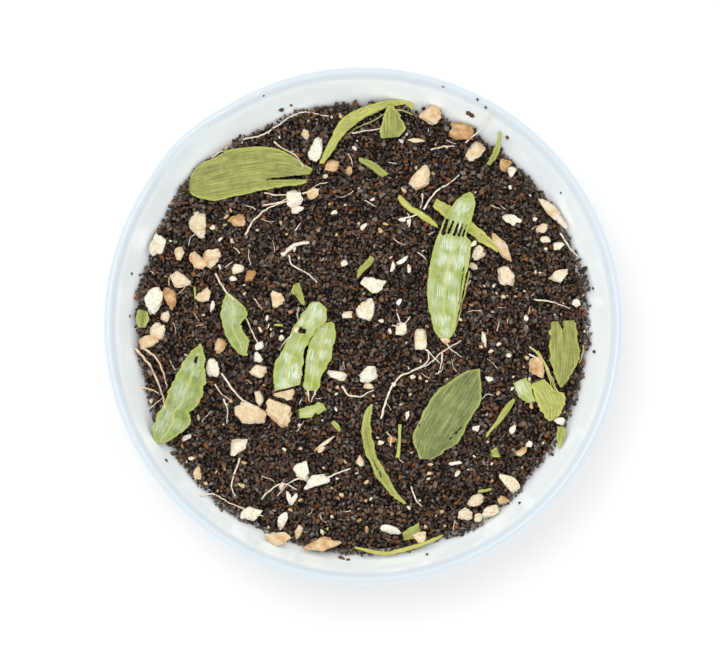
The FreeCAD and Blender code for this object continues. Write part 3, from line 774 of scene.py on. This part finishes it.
husk("strip_bottom", yellow, 12,
     [(-1.2, -34.1), (0.3, -34.4), (2.0, -34.7), (3.9, -34.9), (5.5, -34.5), (7.5, -34.0), (9.3, -33.4),
      (11.0, -32.8), (12.3, -32.3)],
     [(-1.2, -34.5), (0.2, -34.9), (1.9, -35.4), (3.9, -35.6), (5.6, -35.2), (7.7, -34.6), (9.5, -34.0),
      (11.2, -33.3), (12.5, -32.5)],
     0.35, True, ragged=0.05, bow=0.1)

# Scraps torn off the valves.
scraps = [
    valve(31, [(4.0, 34.7), (3.1, 32.5), (2.6, 30.5), (3.1, 29.5)], [(4.8, 34.8), (5.9, 32.8), (6.7, 31.2),
          (5.7, 29.7)], 0.5, True, crumple=0.3),
    valve(33, [(-5.0, -15.0), (-4.3, -15.8), (-3.6, -16.5)], [(-4.5, -14.6), (-3.7, -15.3), (-3.4, -16.1)],
          0.2, True, ragged=0.06),
    valve(34, [(-10.7, 6.6), (-11.2, 5.3), (-10.4, 4.7), (-9.5, 3.4)], [(-9.8, 6.9), (-9.5, 5.6), (-9.2, 4.5),
          (-8.9, 3.3)], 0.5, True, crumple=0.25),
    valve(35, [(-0.9, 7.8), (-0.8, 8.9), (0.3, 10.1), (1.2, 11.2)], [(-0.6, 7.6), (0.3, 8.7), (1.2, 9.5),
          (1.9, 10.7)], 0.4, True, crumple=0.25),
    valve(36, [(-0.6, 26.6), (0.8, 26.3), (2.3, 25.5), (4.1, 24.0)], [(-0.6, 26.0), (0.5, 25.3), (1.7, 24.4),
          (3.1, 23.4)], 0.4, True),
    valve(37, [(19.4, 25.6), (20.3, 27.4), (21.2, 30.4)], [(20.0, 25.4), (21.3, 27.2), (21.5, 30.4)], 0.3,
          True),
    valve(38, [(6.1, -32.1), (7.3, -31.2), (8.7, -30.4)], [(6.4, -33.2), (7.8, -33.0), (9.0, -31.8)], 0.3,
          True),
    valve(39, [(19.9, -19.2), (20.9, -18.7)], [(20.0, -20.2), (21.5, -20.3)], 0.2, True),
    valve(40, [(-34.9, 2.6), (-35.2, 1.0), (-34.9, -0.3)], [(-33.4, 2.2), (-33.2, 0.9), (-33.8, -0.3)], 0.3,
          True),
    valve(41, [(17.9, -25.4), (20.0, -25.1)], [(17.9, -25.9), (20.0, -25.5)], 0.15, True, ragged=0.05),
    valve(42, [(30.3, -15.5), (30.1, -17.0), (30.3, -18.1), (30.4, -18.9)], [(31.2, -15.5), (31.7, -16.4),
          (31.2, -17.8), (30.7, -18.9)], 0.35, True),
    valve(43, [(23.4, -11.1), (22.0, -12.5), (20.7, -14.7), (19.7, -16.0), (19.1, -17.0)], [(23.9, -11.3),
          (22.8, -13.2), (21.4, -15.0), (20.2, -16.1), (19.4, -17.2)], 0.3, True, ragged=0.06),
    valve(44, [(-13.8, 0.4), (-12.4, 0.4)], [(-13.8, 0.1), (-12.4, 0.0)], 0.1, True, ragged=0.04),
    valve(45, [(-26.3, 6.2), (-26.2, 4.2)], [(-26.0, 6.2), (-25.9, 4.2)], 0.1, True, ragged=0.04),
]
settle(joined("husk_scraps", scraps, olive), "husk")
pale_scraps = [
    valve(32, [(-9.9, -13.0), (-8.5, -12.5), (-7.6, -12.4), (-7.0, -11.9), (-6.1, -12.2)], [(-9.8, -14.3),
          (-8.2, -14.1), (-7.5, -13.5), (-6.7, -13.5), (-5.7, -12.9)], 0.4, False, crumple=0.2),
    valve(46, [(23.4, -8.8), (23.9, -9.9), (24.5, -11.0), (25.8, -11.8)], [(25.3, -8.0), (26.2, -9.1),
          (26.4, -10.4), (26.9, -11.6)], 0.4, False, spots=[(24.6, -9.4, 1.2)]),
    valve(47, [(5.6, -15.2), (5.6, -17.5), (5.2, -20.4)], [(6.0, -15.2), (5.9, -17.6), (5.7, -20.4)], 0.12,
          False, ragged=0.05),
]
settle(joined("husk_scraps_pale", pale_scraps, lining), "husk")


# ---------------------------------------------------------------- the dried ginger
# Broken bits of dried ginger and other roots: cream to orange-tan, chalky, cut and snapped into flat-sided
# lumps. The larger ones lie where they fell, a row each.

# Where its middle lies, how long and wide it is, the bearing of its length, and how tan it is from 0 to 1.
GINGER = [
    (-8.9, 30.2, 2.0, 1.5, 100, 0.45), (-7.2, 27.6, 4.3, 2.5, 78, 0.05), (-5.0, 25.1, 3.0, 2.1, 15, 0.8),
    (-5.9, 23.6, 1.1, 0.8, 40, 0.5), (-2.1, 24.6, 1.6, 1.3, 60, 0.75), (-10.6, 20.2, 3.2, 2.9, 30, 0.08),
    (-7.9, 20.8, 2.5, 1.7, 40, 0.6), (-10.2, 18.4, 2.3, 1.4, 10, 0.05), (-19.3, 16.8, 3.6, 2.5, 20, 0.75),
    (-25.6, 15.9, 4.4, 3.3, 70, 0.4), (-23.4, 15.5, 0.9, 0.8, 0, 0.3), (-23.7, 10.7, 3.6, 2.7, 40, 0.55),
    (-25.7, 10.0, 3.4, 2.6, 120, 0.6), (-28.6, 6.9, 3.9, 3.0, 160, 0.4), (-32.8, 4.3, 5.2, 3.5, 80, 0.02),
    (-29.8, 4.3, 3.9, 2.5, 95, 0.9), (-30.7, 1.5, 2.1, 1.5, 70, 0.4), (-32.1, -1.1, 3.6, 3.0, 30, 0.45),
    (-33.2, -2.5, 3.4, 2.2, 10, 0.6), (-31.8, 12.9, 4.4, 2.5, 70, 0.25), (-28.5, 11.3, 2.4, 1.9, 80, 0.5),
    (-24.5, 4.7, 2.7, 2.3, 50, 0.45), (-23.4, 3.1, 2.0, 0.7, 75, 0.02), (-19.5, 9.0, 2.1, 1.6, 20, 0.3),
    (-20.2, 7.4, 1.3, 1.0, 0, 0.02), (-17.5, 7.8, 2.3, 1.6, 70, 0.95), (-22.1, -2.8, 3.1, 2.0, 75, 0.8),
    (-23.1, -6.6, 3.3, 2.6, 100, 0.1), (-16.3, -6.9, 3.0, 2.5, 30, 0.4), (-16.0, -3.0, 1.8, 1.4, 60, 0.05),
    (-16.3, -4.8, 1.9, 1.5, 100, 0.15), (-13.4, 4.2, 3.0, 2.4, 110, 0.5), (-2.9, 9.9, 1.4, 1.0, 30, 0.15),
    (1.7, 6.3, 4.3, 3.4, 150, 0.08), (0.6, 2.4, 4.0, 3.3, 100, 0.2), (-2.2, 1.8, 2.2, 1.3, 10, 0.3),
    (3.0, 0.9, 1.2, 0.8, 0, 0.1), (5.6, 3.8, 1.3, 0.9, 80, 0.02), (6.2, 10.4, 2.2, 0.9, 30, 0.05),
    (7.2, 9.2, 1.6, 0.8, 100, 0.1), (4.7, 9.5, 1.9, 0.8, 80, 0.05), (6.1, -0.4, 2.6, 2.3, 40, 0.2),
    (8.9, -1.8, 4.1, 2.7, 75, 0.35), (0.9, -7.1, 3.9, 3.2, 50, 0.1), (0.9, -9.3, 1.8, 1.2, 0, 0.6),
    (-4.1, -7.5, 3.4, 1.8, 170, 0.2), (-17.2, -13.8, 5.9, 3.7, 146, 0.5), (-16.1, -11.2, 2.7, 1.3, 100, 0.4),
    (-13.3, -13.0, 6.3, 3.7, 130, 0.62), (-11.8, -10.5, 4.1, 2.1, 15, 0.5), (-19.3, -18.7, 3.6, 3.0, 50, 0.3),
    (-27.1, -17.2, 2.2, 1.0, 25, 0.02), (-25.6, -22.8, 2.6, 1.5, 80, 0.55), (-9.4, -22.6, 3.6, 3.0, 60, 0.06),
    (-7.2, -24.0, 4.6, 2.0, 22, 0.06), (-11.4, -26.8, 2.6, 0.9, 110, 0.15),
    (-10.7, -26.9, 2.2, 0.8, 60, 0.15), (-12.5, -30.2, 3.0, 1.9, 85, 0.03),
    (-17.2, -29.3, 3.8, 2.7, 10, 0.06), (-13.2, -33.0, 4.4, 2.6, 170, 0.55), (-9.9, -32.1, 2.6, 1.4, 70, 0.5),
    (-6.4, -34.0, 6.3, 2.8, 5, 0.75), (-6.0, -18.2, 4.4, 0.7, 37, 0.55), (-6.4, -19.1, 1.5, 0.8, 40, 0.5),
    (-0.3, -21.0, 2.1, 1.5, 100, 0.4), (2.9, -18.1, 1.2, 1.0, 30, 0.2), (4.5, -17.6, 1.4, 1.3, 0, 1.0),
    (7.0, -13.8, 1.7, 0.7, 80, 0.05), (4.3, -31.4, 3.7, 1.8, 160, 0.05), (8.9, -32.7, 2.4, 2.1, 30, 0.5),
    (10.8, 33.0, 4.0, 3.2, 20, 0.62), (15.5, 30.5, 4.4, 3.0, 160, 0.9), (17.7, 27.8, 3.9, 2.8, 30, 0.5),
    (22.1, 25.6, 2.5, 2.2, 50, 0.8), (23.4, 24.5, 2.0, 1.5, 80, 0.02), (8.6, 29.3, 3.3, 0.8, 178, 0.55),
    (8.8, 23.0, 4.9, 3.3, 85, 0.5), (6.3, 16.9, 1.2, 0.9, 0, 0.02), (7.3, 16.5, 1.1, 0.9, 50, 0.02),
    (29.4, 18.4, 5.4, 1.8, 134, 0.35), (30.9, 16.9, 4.0, 1.2, 130, 0.2), (28.1, 15.5, 2.3, 1.6, 30, 0.4),
    (28.6, 13.9, 1.8, 1.4, 0, 0.3), (23.4, 17.0, 3.2, 2.0, 150, 0.06), (18.2, 11.6, 2.7, 2.1, 80, 0.25),
    (17.2, 9.7, 2.0, 1.2, 160, 0.3), (21.7, 12.5, 5.6, 1.9, 118, 0.6), (22.4, 8.2, 4.0, 3.2, 130, 0.4),
    (30.7, 7.9, 3.8, 2.3, 28, 0.3), (30.7, 12.8, 2.0, 1.4, 20, 0.15), (33.4, 3.8, 1.6, 1.4, 10, 0.02),
    (27.2, -6.5, 3.7, 3.1, 80, 0.7), (19.0, -2.1, 3.0, 1.0, 100, 0.3), (21.2, -2.7, 0.9, 0.7, 0, 0.1),
    (22.8, -4.4, 1.0, 0.8, 0, 0.2), (19.7, -8.2, 1.4, 1.1, 150, 0.05), (17.7, -15.8, 1.4, 1.1, 0, 0.05),
    (23.3, -16.0, 1.9, 1.0, 60, 0.06), (14.4, -21.2, 2.3, 0.7, 5, 0.02), (24.6, -19.6, 2.6, 1.3, 40, 0.75),
    (26.0, -18.3, 1.4, 1.1, 60, 0.03), (23.0, -24.3, 4.4, 2.1, 125, 0.3), (21.7, -27.0, 2.1, 1.6, 20, 0.8),
    (19.8, -28.8, 3.3, 1.9, 15, 0.35), (17.5, -27.0, 3.1, 2.0, 30, 0.45), (15.7, -29.1, 2.9, 2.2, 150, 0.3),
    (17.8, -29.8, 1.7, 1.3, 80, 0.4), (30.7, -14.6, 1.9, 1.7, 20, 0.02), (12.9, -2.2, 1.7, 1.0, 160, 0.6),
    (-21.3, 28.1, 1.0, 0.7, 20, 0.7), (17.2, 12.9, 1.3, 1.0, 60, 0.2), (23.4, -9.6, 1.0, 0.6, 40, 0.1),
    (-10.4, -0.6, 1.2, 1.1, 0, 0.25), (-12.6, -1.7, 1.1, 1.0, 30, 0.15),
]
GINGER_HEIGHT = (0.45, 0.62)
FINE_GINGER = 1.8
GINGER_SUNK = 0.12
PIT_BROWN_AND_SHADE = "#A08058"


def dried_ginger():
    """Chalky dried root: cream where it snapped, tan to orange where it dried hard, with brown pits, the
    brown partly their own colour and partly painted shade in the hollows of the relief.
    """
    material, place = blank("dried_ginger")
    drift = stretched(material, noise(material, place, 800.0, 4.0, 0.65), 0.3, 0.7, -0.3, 0.36)
    tone = combined(material, "ADD", mark_of(material, "tone"), drift)
    colour = ramp(material, tone, (0.0, "#F2EEE0"), (1.0, "#B58857"), (0.3, "#EBE0C6"), (0.6, "#E0C9A2"),
                  (0.8, "#D6B080"))
    pit = noise(material, place, 3200.0, 3.0)
    # Brown where the relief is low: the pits' own colour, and painted shade in its hollows.
    colour = mixed(material, stretched(material, pit, 0.28, 0.52, 0.6, 0.0), colour, PIT_BROWN_AND_SHADE)
    return surface(material, {
        "Base Color": colour, "Normal": bumped(material, pit, 1.0, 0.2), "Roughness": 0.75, "IOR": 1.4,
        "Subsurface Weight": 0.15, "Subsurface Radius": (0.0009, 0.0006, 0.0004)})


def snapped_bit(chance, long, wide, subdivisions):
    """One lump with an angular outline and a flattish top, about as long and wide as asked."""
    shapes, faces = crumb_shapes(chance, 1, 0.035, subdivisions)
    x, y, z = shapes[0].T
    shape = shapes[0] * (1 + 0.2 * waves(chance, x + z, y - 0.5 * z, 1.3)[:, None])
    for cut in range(5):
        turn = chance.uniform(0, 2 * np.pi)
        lean = chance.uniform(-0.35, 0.35) if cut else chance.uniform(1.2, 1.9)
        way = np.array([np.cos(turn) * np.cos(lean), np.sin(turn) * np.cos(lean), np.sin(lean)])
        over = np.clip(shape @ way - chance.uniform(0.5, 0.8), 0, None)
        shape = shape - over[:, None] * way
    for fine in (0.7, 0.35):
        x, y, z = shape.T
        shape = shape * (1 + 0.11 * fine * waves(chance, x + 0.7 * z, y - 0.6 * z, fine)[:, None])
    shape = shape / (np.abs(shape).max(axis=0) * 2)
    return shape * (long, wide, wide * chance.uniform(*GINGER_HEIGHT)), faces


def laid(chance, shape, x, y, bearing, sunk, lean=0.2):
    """The shape turned to its bearing, leaning a little, and resting on the heap."""
    turn = Matrix.Rotation(math.radians(bearing), 3, "Z")
    for axis_name in "XY":
        turn = turn @ Matrix.Rotation(chance.uniform(-lean, lean), 3, axis_name)
    points = shape @ np.array(turn).T + (x, y, 0)
    points = points + (0, 0, rest_on_heap(*points.T) - sunk)
    raise_heap(*points.T)
    return points


def toned(points, faces, tone):
    """A part of a joined piece, with one tone all over."""
    return points, faces, {"tone": np.full(len(points), tone)}


ginger = []
chance = np.random.default_rng(17)
for x, y, long, wide, bearing, tan in GINGER:
    shape, faces = snapped_bit(chance, long, wide, 4 if wide > FINE_GINGER else 3)
    ginger.append(toned(laid(chance, shape, x, y, bearing, GINGER_SUNK * wide), faces, tan))
chalky = dried_ginger()
settle(joined("ginger_bits", ginger, chalky), "ginger")


# ---------------------------------------------------------------- crumbs and slivers
# What broke off in the tin: chalky crumbs of ginger, and splinters of leaf stalk and of root.

CHALK_CRUMBS, TAN_CRUMBS = 60, 110
STALK_SLIVERS = 260
SCATTER_REACH = 35.0


def free_place(chance):
    """A random place on the bare tea."""
    while True:
        out, turn = SCATTER_REACH * math.sqrt(chance.uniform()), chance.uniform(0, 2 * math.pi)
        x, y = out * math.cos(turn), out * math.sin(turn)
        i, j = cell_of(x, y)
        if not covered[i - 3:i + 4, j - 3:j + 4].any():
            return x, y


chance = np.random.default_rng(23)
crumbs = []
for number in range(CHALK_CRUMBS + TAN_CRUMBS):
    size = 0.3 + 0.65 * chance.beta(1.2, 2.6)
    shape, faces = snapped_bit(chance, size * chance.uniform(1.1, 2.0), size, 2)
    points = laid(chance, shape, *free_place(chance), chance.uniform(0, 360), sunk=0.1, lean=0.5)
    tan = chance.uniform(0, 0.3) if number < CHALK_CRUMBS else chance.uniform(0.35, 0.95)
    crumbs.append(toned(points, faces, tan))
settle(joined("ginger_crumbs", crumbs, chalky), "ginger")

slivers = []
for _ in range(STALK_SLIVERS):
    long = 0.5 + 1.3 * chance.beta(1.2, 2.5)
    shapes, faces = crumb_shapes(chance, 1, 0.15, 2)
    shape = shapes[0] / 2 * (long, chance.uniform(0.16, 0.34), 0.2)
    points = laid(chance, shape, *free_place(chance), chance.uniform(0, 360), sunk=0.08, lean=0.3)
    slivers.append(toned(points, faces, chance.uniform(0, 1)))
settle(joined("stalk_slivers", slivers, rolled_leaf("stalk_slivers", "#4A2D1D", "#8E5A34")), "tea")


# ---------------------------------------------------------------- the root fibres
# Fine dry rootlets off the ginger, stiff and springy, so they bridge from pellet to pellet.

# Each rootlet: the places it runs through, its thickness, and how tan it is.
ROOTLETS = [
    ([(-11.5, 11.2), (-11.0, 9.7), (-8.7, 8.4), (-7.1, 6.9)], 0.28, 0.1), ([(-12.6, 11.2), (-10.6, 12.7),
    (-8.3, 13.1)], 0.8, 0.15), ([(2.8, -14.3), (4.0, -10.5), (5.7, -7.9), (7.9, -6.8), (10.4, -5.7),
    (12.3, -4.0), (15.4, -2.0)], 0.34, 0.15), ([(12.4, -4.0), (12.3, -5.5), (11.8, -7.4)], 0.28, 0.15),
    ([(10.2, -3.5), (10.1, -5.4), (7.9, -6.8)], 0.26, 0.2), ([(-3.3, -9.3), (-2.0, -10.7), (-0.2, -10.8),
    (1.7, -9.8)], 0.32, 0.2), ([(-15.7, -26.8), (-14.6, -25.7), (-12.6, -24.5), (-10.1, -25.3)], 0.3, 0.15),
    ([(-9.8, -23.6), (-11.2, -24.2), (-13.3, -26.4)], 0.26, 0.15), ([(-5.4, -23.4), (-3.4, -22.6),
    (-1.9, -22.1)], 0.3, 0.1), ([(-23.0, 8.3), (-21.4, 5.6), (-19.1, 3.0), (-17.7, 0.3), (-16.0, -3.4)], 0.34,
    0.4), ([(-35.4, -3.3), (-32.8, -6.6), (-30.9, -11.3), (-30.6, -14.0)], 0.42, 0.55), ([(-34.2, -3.3),
    (-32.0, -5.1), (-30.7, -8.2), (-30.4, -9.6)], 0.36, 0.55), ([(-34.4, -9.5), (-33.0, -9.8),
    (-31.7, -10.5)], 0.3, 0.5), ([(-33.2, -13.0), (-32.0, -11.8), (-31.0, -11.2)], 0.22, 0.2), ([(9.5, 18.5),
    (11.5, 21.3), (13.3, 22.4), (15.1, 23.9)], 0.34, 0.05), ([(9.3, 21.0), (9.4, 20.0), (9.0, 18.6)], 0.26,
    0.2), ([(5.6, 16.8), (7.6, 17.3), (9.4, 17.9)], 0.3, 0.05), ([(26.7, 4.4), (29.3, 4.1), (31.0, 3.6),
    (32.5, 3.0)], 0.26, 0.2), ([(30.9, 14.8), (32.8, 12.0), (34.2, 10.9)], 0.3, 0.15), ([(16.1, 28.9),
    (18.9, 31.4), (20.0, 33.2), (20.3, 34.5)], 0.24, 0.2), ([(10.7, 27.8), (12.6, 28.4), (14.4, 28.4)], 0.3,
    0.4), ([(-18.8, 29.4), (-15.4, 30.3), (-9.8, 33.6), (-5.3, 33.0)], 0.26, 0.1), ([(-23.6, 26.4),
    (-22.4, 27.3), (-21.2, 27.8)], 0.28, 0.1), ([(-13.8, 29.0), (-12.9, 28.2), (-10.6, 26.9), (-9.3, 24.9)],
    0.34, 0.25), ([(-1.7, 30.5), (1.0, 30.9), (4.2, 31.1)], 0.26, 0.2), ([(7.6, -24.8), (8.2, -26.8),
    (9.2, -27.9)], 0.28, 0.15), ([(-25.6, -26.4), (-23.0, -26.1), (-20.3, -27.6), (-15.4, -29.5)], 0.26, 0.2),
    ([(-21.9, -7.4), (-19.6, -10.5), (-18.0, -12.1)], 0.36, 0.15), ([(-23.0, -9.0), (-21.8, -10.6),
    (-20.3, -11.6)], 0.24, 0.2), ([(-21.6, -11.3), (-21.0, -13.0), (-21.1, -15.2)], 0.22, 0.2),
    ([(-19.0, -20.5), (-20.3, -24.5), (-19.7, -26.4)], 0.3, 0.2), ([(-15.3, 20.9), (-13.5, 20.6),
    (-11.6, 20.7)], 0.3, 0.2), ([(-18.3, 14.3), (-17.0, 16.5), (-14.6, 18.6), (-11.6, 19.8)], 0.34, 0.25),
    ([(-9.4, 20.8), (-8.4, 21.1), (-6.7, 21.6)], 0.3, 0.4), ([(-15.6, 19.0), (-13.6, 19.3), (-11.8, 20.0)],
    0.28, 0.2), ([(5.2, 2.6), (5.6, 1.4), (5.9, 0.2)], 0.24, 0.15), ([(7.4, 1.6), (6.9, 1.0), (6.4, 0.2)],
    0.22, 0.15), ([(9.6, -3.4), (11.0, -4.6), (12.0, -5.6)], 0.26, 0.3), ([(12.6, -2.4), (14.0, -3.6),
    (15.6, -4.6)], 0.26, 0.25), ([(-9.9, 0.6), (-10.2, 1.8), (-9.9, 3.0)], 0.22, 0.15), ([(-11.0, -1.2),
    (-12.2, -2.6), (-12.9, -3.6)], 0.22, 0.25), ([(-8.5, -9.9), (-8.4, -10.8), (-8.2, -11.7)], 0.26, 0.2),
    ([(-7.3, -9.9), (-7.6, -10.8), (-8.0, -11.7)], 0.26, 0.2), ([(18.6, -11.3), (19.4, -10.4), (20.8, -10.9)],
    0.2, 0.25), ([(25.9, -4.2), (27.0, -4.9), (27.9, -5.8)], 0.3, 0.05), ([(-27.6, -4.4), (-26.6, -5.0),
    (-25.4, -4.3)], 0.22, 0.2),
]
YELLOW_STRANDS = [
    ([(26.1, -2.9), (28.0, -5.1), (29.5, -7.9), (30.4, -10.4)], 0.34, 0.5), ([(26.6, -3.3), (27.6, -4.6),
    (28.9, -7.4), (29.5, -10.2)], 0.26, 0.5), ([(27.3, -3.8), (28.3, -5.8), (29.6, -8.6), (30.0, -10.3)],
    0.22, 0.6), ([(34.5, -2.8), (34.4, -4.2), (33.9, -5.6)], 0.3, 0.4), ([(16.7, 8.8), (15.9, 5.4),
    (15.0, 1.6), (14.1, -1.2)], 0.32, 0.6), ([(-2.4, 30.2), (-0.8, 31.4), (1.2, 32.2), (3.4, 33.3)], 0.26,
    0.6), ([(5.0, 34.0), (6.4, 34.0), (7.8, 33.4)], 0.3, 0.5), ([(26.8, -11.7), (26.0, -11.4), (25.2, -11.9)],
    0.24, 0.3),
]
LOOSE_ROOTLETS = 60
ROOT_SIDES, ROOT_GRAIN = 7, 0.16
ROOT_CROOK, ROOT_TAPER, ROOT_KNOBS = 0.07, 0.45, 0.16


def smoothed(numbers, reach):
    """The running mean of a row of numbers, over so many to each side."""
    count = 2 * reach + 1
    return np.convolve(np.pad(numbers, reach, "edge"), np.ones(count) / count, "valid")


def rootlet(chance, places, thick, tan):
    """A tapered crooked tube laid over the heap."""
    length = np.hypot(*np.diff(np.array(places), axis=0).T).sum()
    count = max(int(length / ROOT_GRAIN), 8)
    share = np.linspace(0, 1, count)
    crook = np.stack([waves(chance, share * length, share * 0, 1.6) for _ in range(2)], axis=1)
    xy = smooth_through(places, count) + ROOT_CROOK * crook
    knobs = 1 + ROOT_KNOBS * waves(chance, share * length, share * 0, 0.8)
    radius = thick / 2 * (1 - ROOT_TAPER * share) * knobs
    below = heap[cell_of(*xy.T)]
    padded = np.pad(below, 6, "edge")
    level = smoothed(np.max([padded[k:k + count] for k in range(13)], axis=0), 5)
    centre = np.column_stack([xy, smoothed(0.35 * below + 0.65 * level + radius * 0.6, 2)])
    run = np.gradient(centre, axis=0)
    run /= np.linalg.norm(run, axis=1, keepdims=True)
    side = np.cross(run, (0, 0, 1))
    side /= np.linalg.norm(side, axis=1, keepdims=True)
    up = np.cross(side, run)
    turns = np.linspace(0, 2 * np.pi, ROOT_SIDES, endpoint=False)[:, None]
    around = side[:, None] * np.cos(turns) + up[:, None] * np.sin(turns)
    tube = centre[:, None] + radius[:, None, None] * around
    rings = [centre[:1], *tube, centre[-1:]]
    points = np.concatenate(rings)
    raise_heap(*points.T)
    return toned(points, ring_faces(rings, inward=True), tan)


def dry_root(name, pale, tan):
    """Dry rootlet skin: cream to straw, dull, wrinkled."""
    material, place = blank(name)
    grain = noise(material, place, 1900.0, 3.0)
    drift = stretched(material, grain, 0.3, 0.7, -0.2, 0.25)
    tone = combined(material, "ADD", mark_of(material, "tone"), drift)
    return surface(material, {
        "Base Color": ramp(material, tone, (0.0, pale), (0.9, tan)), "Roughness": 0.7, "IOR": 1.4,
        "Normal": bumped(material, grain, 0.5, 0.05),
        "Subsurface Weight": 0.1, "Subsurface Radius": (0.0005, 0.0004, 0.0003)})


chance = np.random.default_rng(29)
roots = [rootlet(chance, *row) for row in ROOTLETS]
for _ in range(LOOSE_ROOTLETS):
    x, y = free_place(chance)
    turn, long = chance.uniform(0, 2 * np.pi), chance.uniform(0.8, 2.6)
    bend = chance.uniform(-0.4, 0.4)
    places = [(x, y), (x + long / 2 * math.cos(turn), y + long / 2 * math.sin(turn)),
              (x + long * math.cos(turn + bend), y + long * math.sin(turn + bend))]
    roots.append(rootlet(chance, places, chance.uniform(0.12, 0.24), chance.uniform(0.05, 0.7)))
settle(joined("rootlets", roots, dry_root("dry_rootlets", "#F1EADA", "#D8B588")), "root")
strands = [rootlet(chance, *row) for row in YELLOW_STRANDS]
settle(joined("husk_strands", strands, dry_root("husk_strands", "#E2DF9A", "#B9B45E")), "husk")


# ---------------------------------------------------------------- strays on the wall
# A few pellets and specks of dust that were left on the porcelain above the tea when the dish was filled.

# Where each one lies, and how large it is.
STRAYS = [
    (-12.7, 33.9, 0.8), (-11.2, 34.6, 0.5), (17.6, 34.9, 0.45), (18.9, 33.7, 0.55), (-15.5, 35.4, 0.3),
    (12.3, 36.9, 0.3), (-3.3, -35.9, 0.9), (-2.2, -36.2, 0.6), (24.3, -27.4, 0.5), (35.9, 6.0, 0.5),
    (36.1, -3.9, 0.6), (-35.9, 8.0, 0.45), (-30.4, -20.9, 0.5), (22.5, 29.5, 0.7), (16.4, 33.3, 0.8),
    (17.0, 32.9, 0.9), (30.8, 20.8, 0.4), (-36.2, 1.5, 0.4), (9.9, -35.4, 0.5), (-24.1, 26.0, 0.9),
    (-23.5, 26.4, 0.6), (-19.7, 29.3, 0.9), (-19.2, 29.9, 0.7), (-20.2, 29.2, 0.6),
]
stray = np.array(STRAYS)
level = wall_height(np.hypot(stray[:, 0], stray[:, 1])) + 0.3 * stray[:, 2]
shapes, faces = crumb_shapes(chance, 12, 0.18, 2)
places = np.column_stack([stray[:, :2], level])
sizes = stray[:, 2:] / 2 * np.array([[1.3, 1.0, 0.8]])
leaf = rolled_leaf("tea_strays", "#362A22", "#704A34")
settle(scatter("tea_strays", chance, shapes, faces, places, sizes, leaf), "tea")


# ---------------------------------------------------------------- light and floor
# A plain white table under one broad soft lamp high at the back left, with pale fill from all round.

world = bpy.data.worlds.new("studio")
bpy.context.scene.world = world
world.use_nodes = True
fill = world.node_tree.nodes["Background"].inputs
fill["Color"].default_value, fill["Strength"].default_value = linear("#FFFFFF"), 1.17
lamp = bpy.data.lights.new("soft_key", "AREA")
lamp.shape, lamp.size, lamp.energy = "DISK", 0.38, 2.1
key = bpy.data.objects.new("soft_key", lamp)
key.location = Vector((-0.2, 0.17, 1.0))
key.rotation_euler = (Vector((0, 0, 0.02)) - key.location).to_track_quat("-Z", "Y").to_euler()
bpy.context.scene.collection.objects.link(key)

material, place = blank("white_table")
pale = ramp(material, noise(material, place, 25.0, 2.0), (0.3, "#E5E5E6"), (0.7, "#E8E8E8"))
surface(material, {"Roughness": 0.7, "Base Color": pale})
bpy.ops.mesh.primitive_plane_add(size=6)
floor = bpy.context.active_object
floor.name = "table"
floor.data.materials.append(material)


# ---------------------------------------------------------------- camera
# Nearly straight down, leaning a little to the near left, from half a metre.

CAMERA_ELEVATION, CAMERA_AZIMUTH, CAMERA_DISTANCE = 85.0, -22.0, 0.5
CAMERA_AIM = (-0.6, -0.2, 22.5)
tilt, turn = math.radians(CAMERA_ELEVATION), math.radians(CAMERA_AZIMUTH)
off = Vector((math.sin(turn) * math.cos(tilt), -math.cos(turn) * math.cos(tilt), math.sin(tilt)))
look = bpy.data.cameras.new("camera")
look.sensor_width, look.lens, look.clip_start = 36.0, 162.4, 0.01
camera = bpy.data.objects.new("camera", look)
back = off.normalized()
across = Vector((0, 1, 0)).cross(back).normalized()
facing = Matrix((across, back.cross(across), back)).transposed().to_4x4()
camera.matrix_world = Matrix.Translation(Vector(CAMERA_AIM) * MM + off * CAMERA_DISTANCE) @ facing
bpy.context.scene.collection.objects.link(camera)
bpy.context.scene.camera = camera
bpy.context.scene.view_settings.view_transform = "Standard"
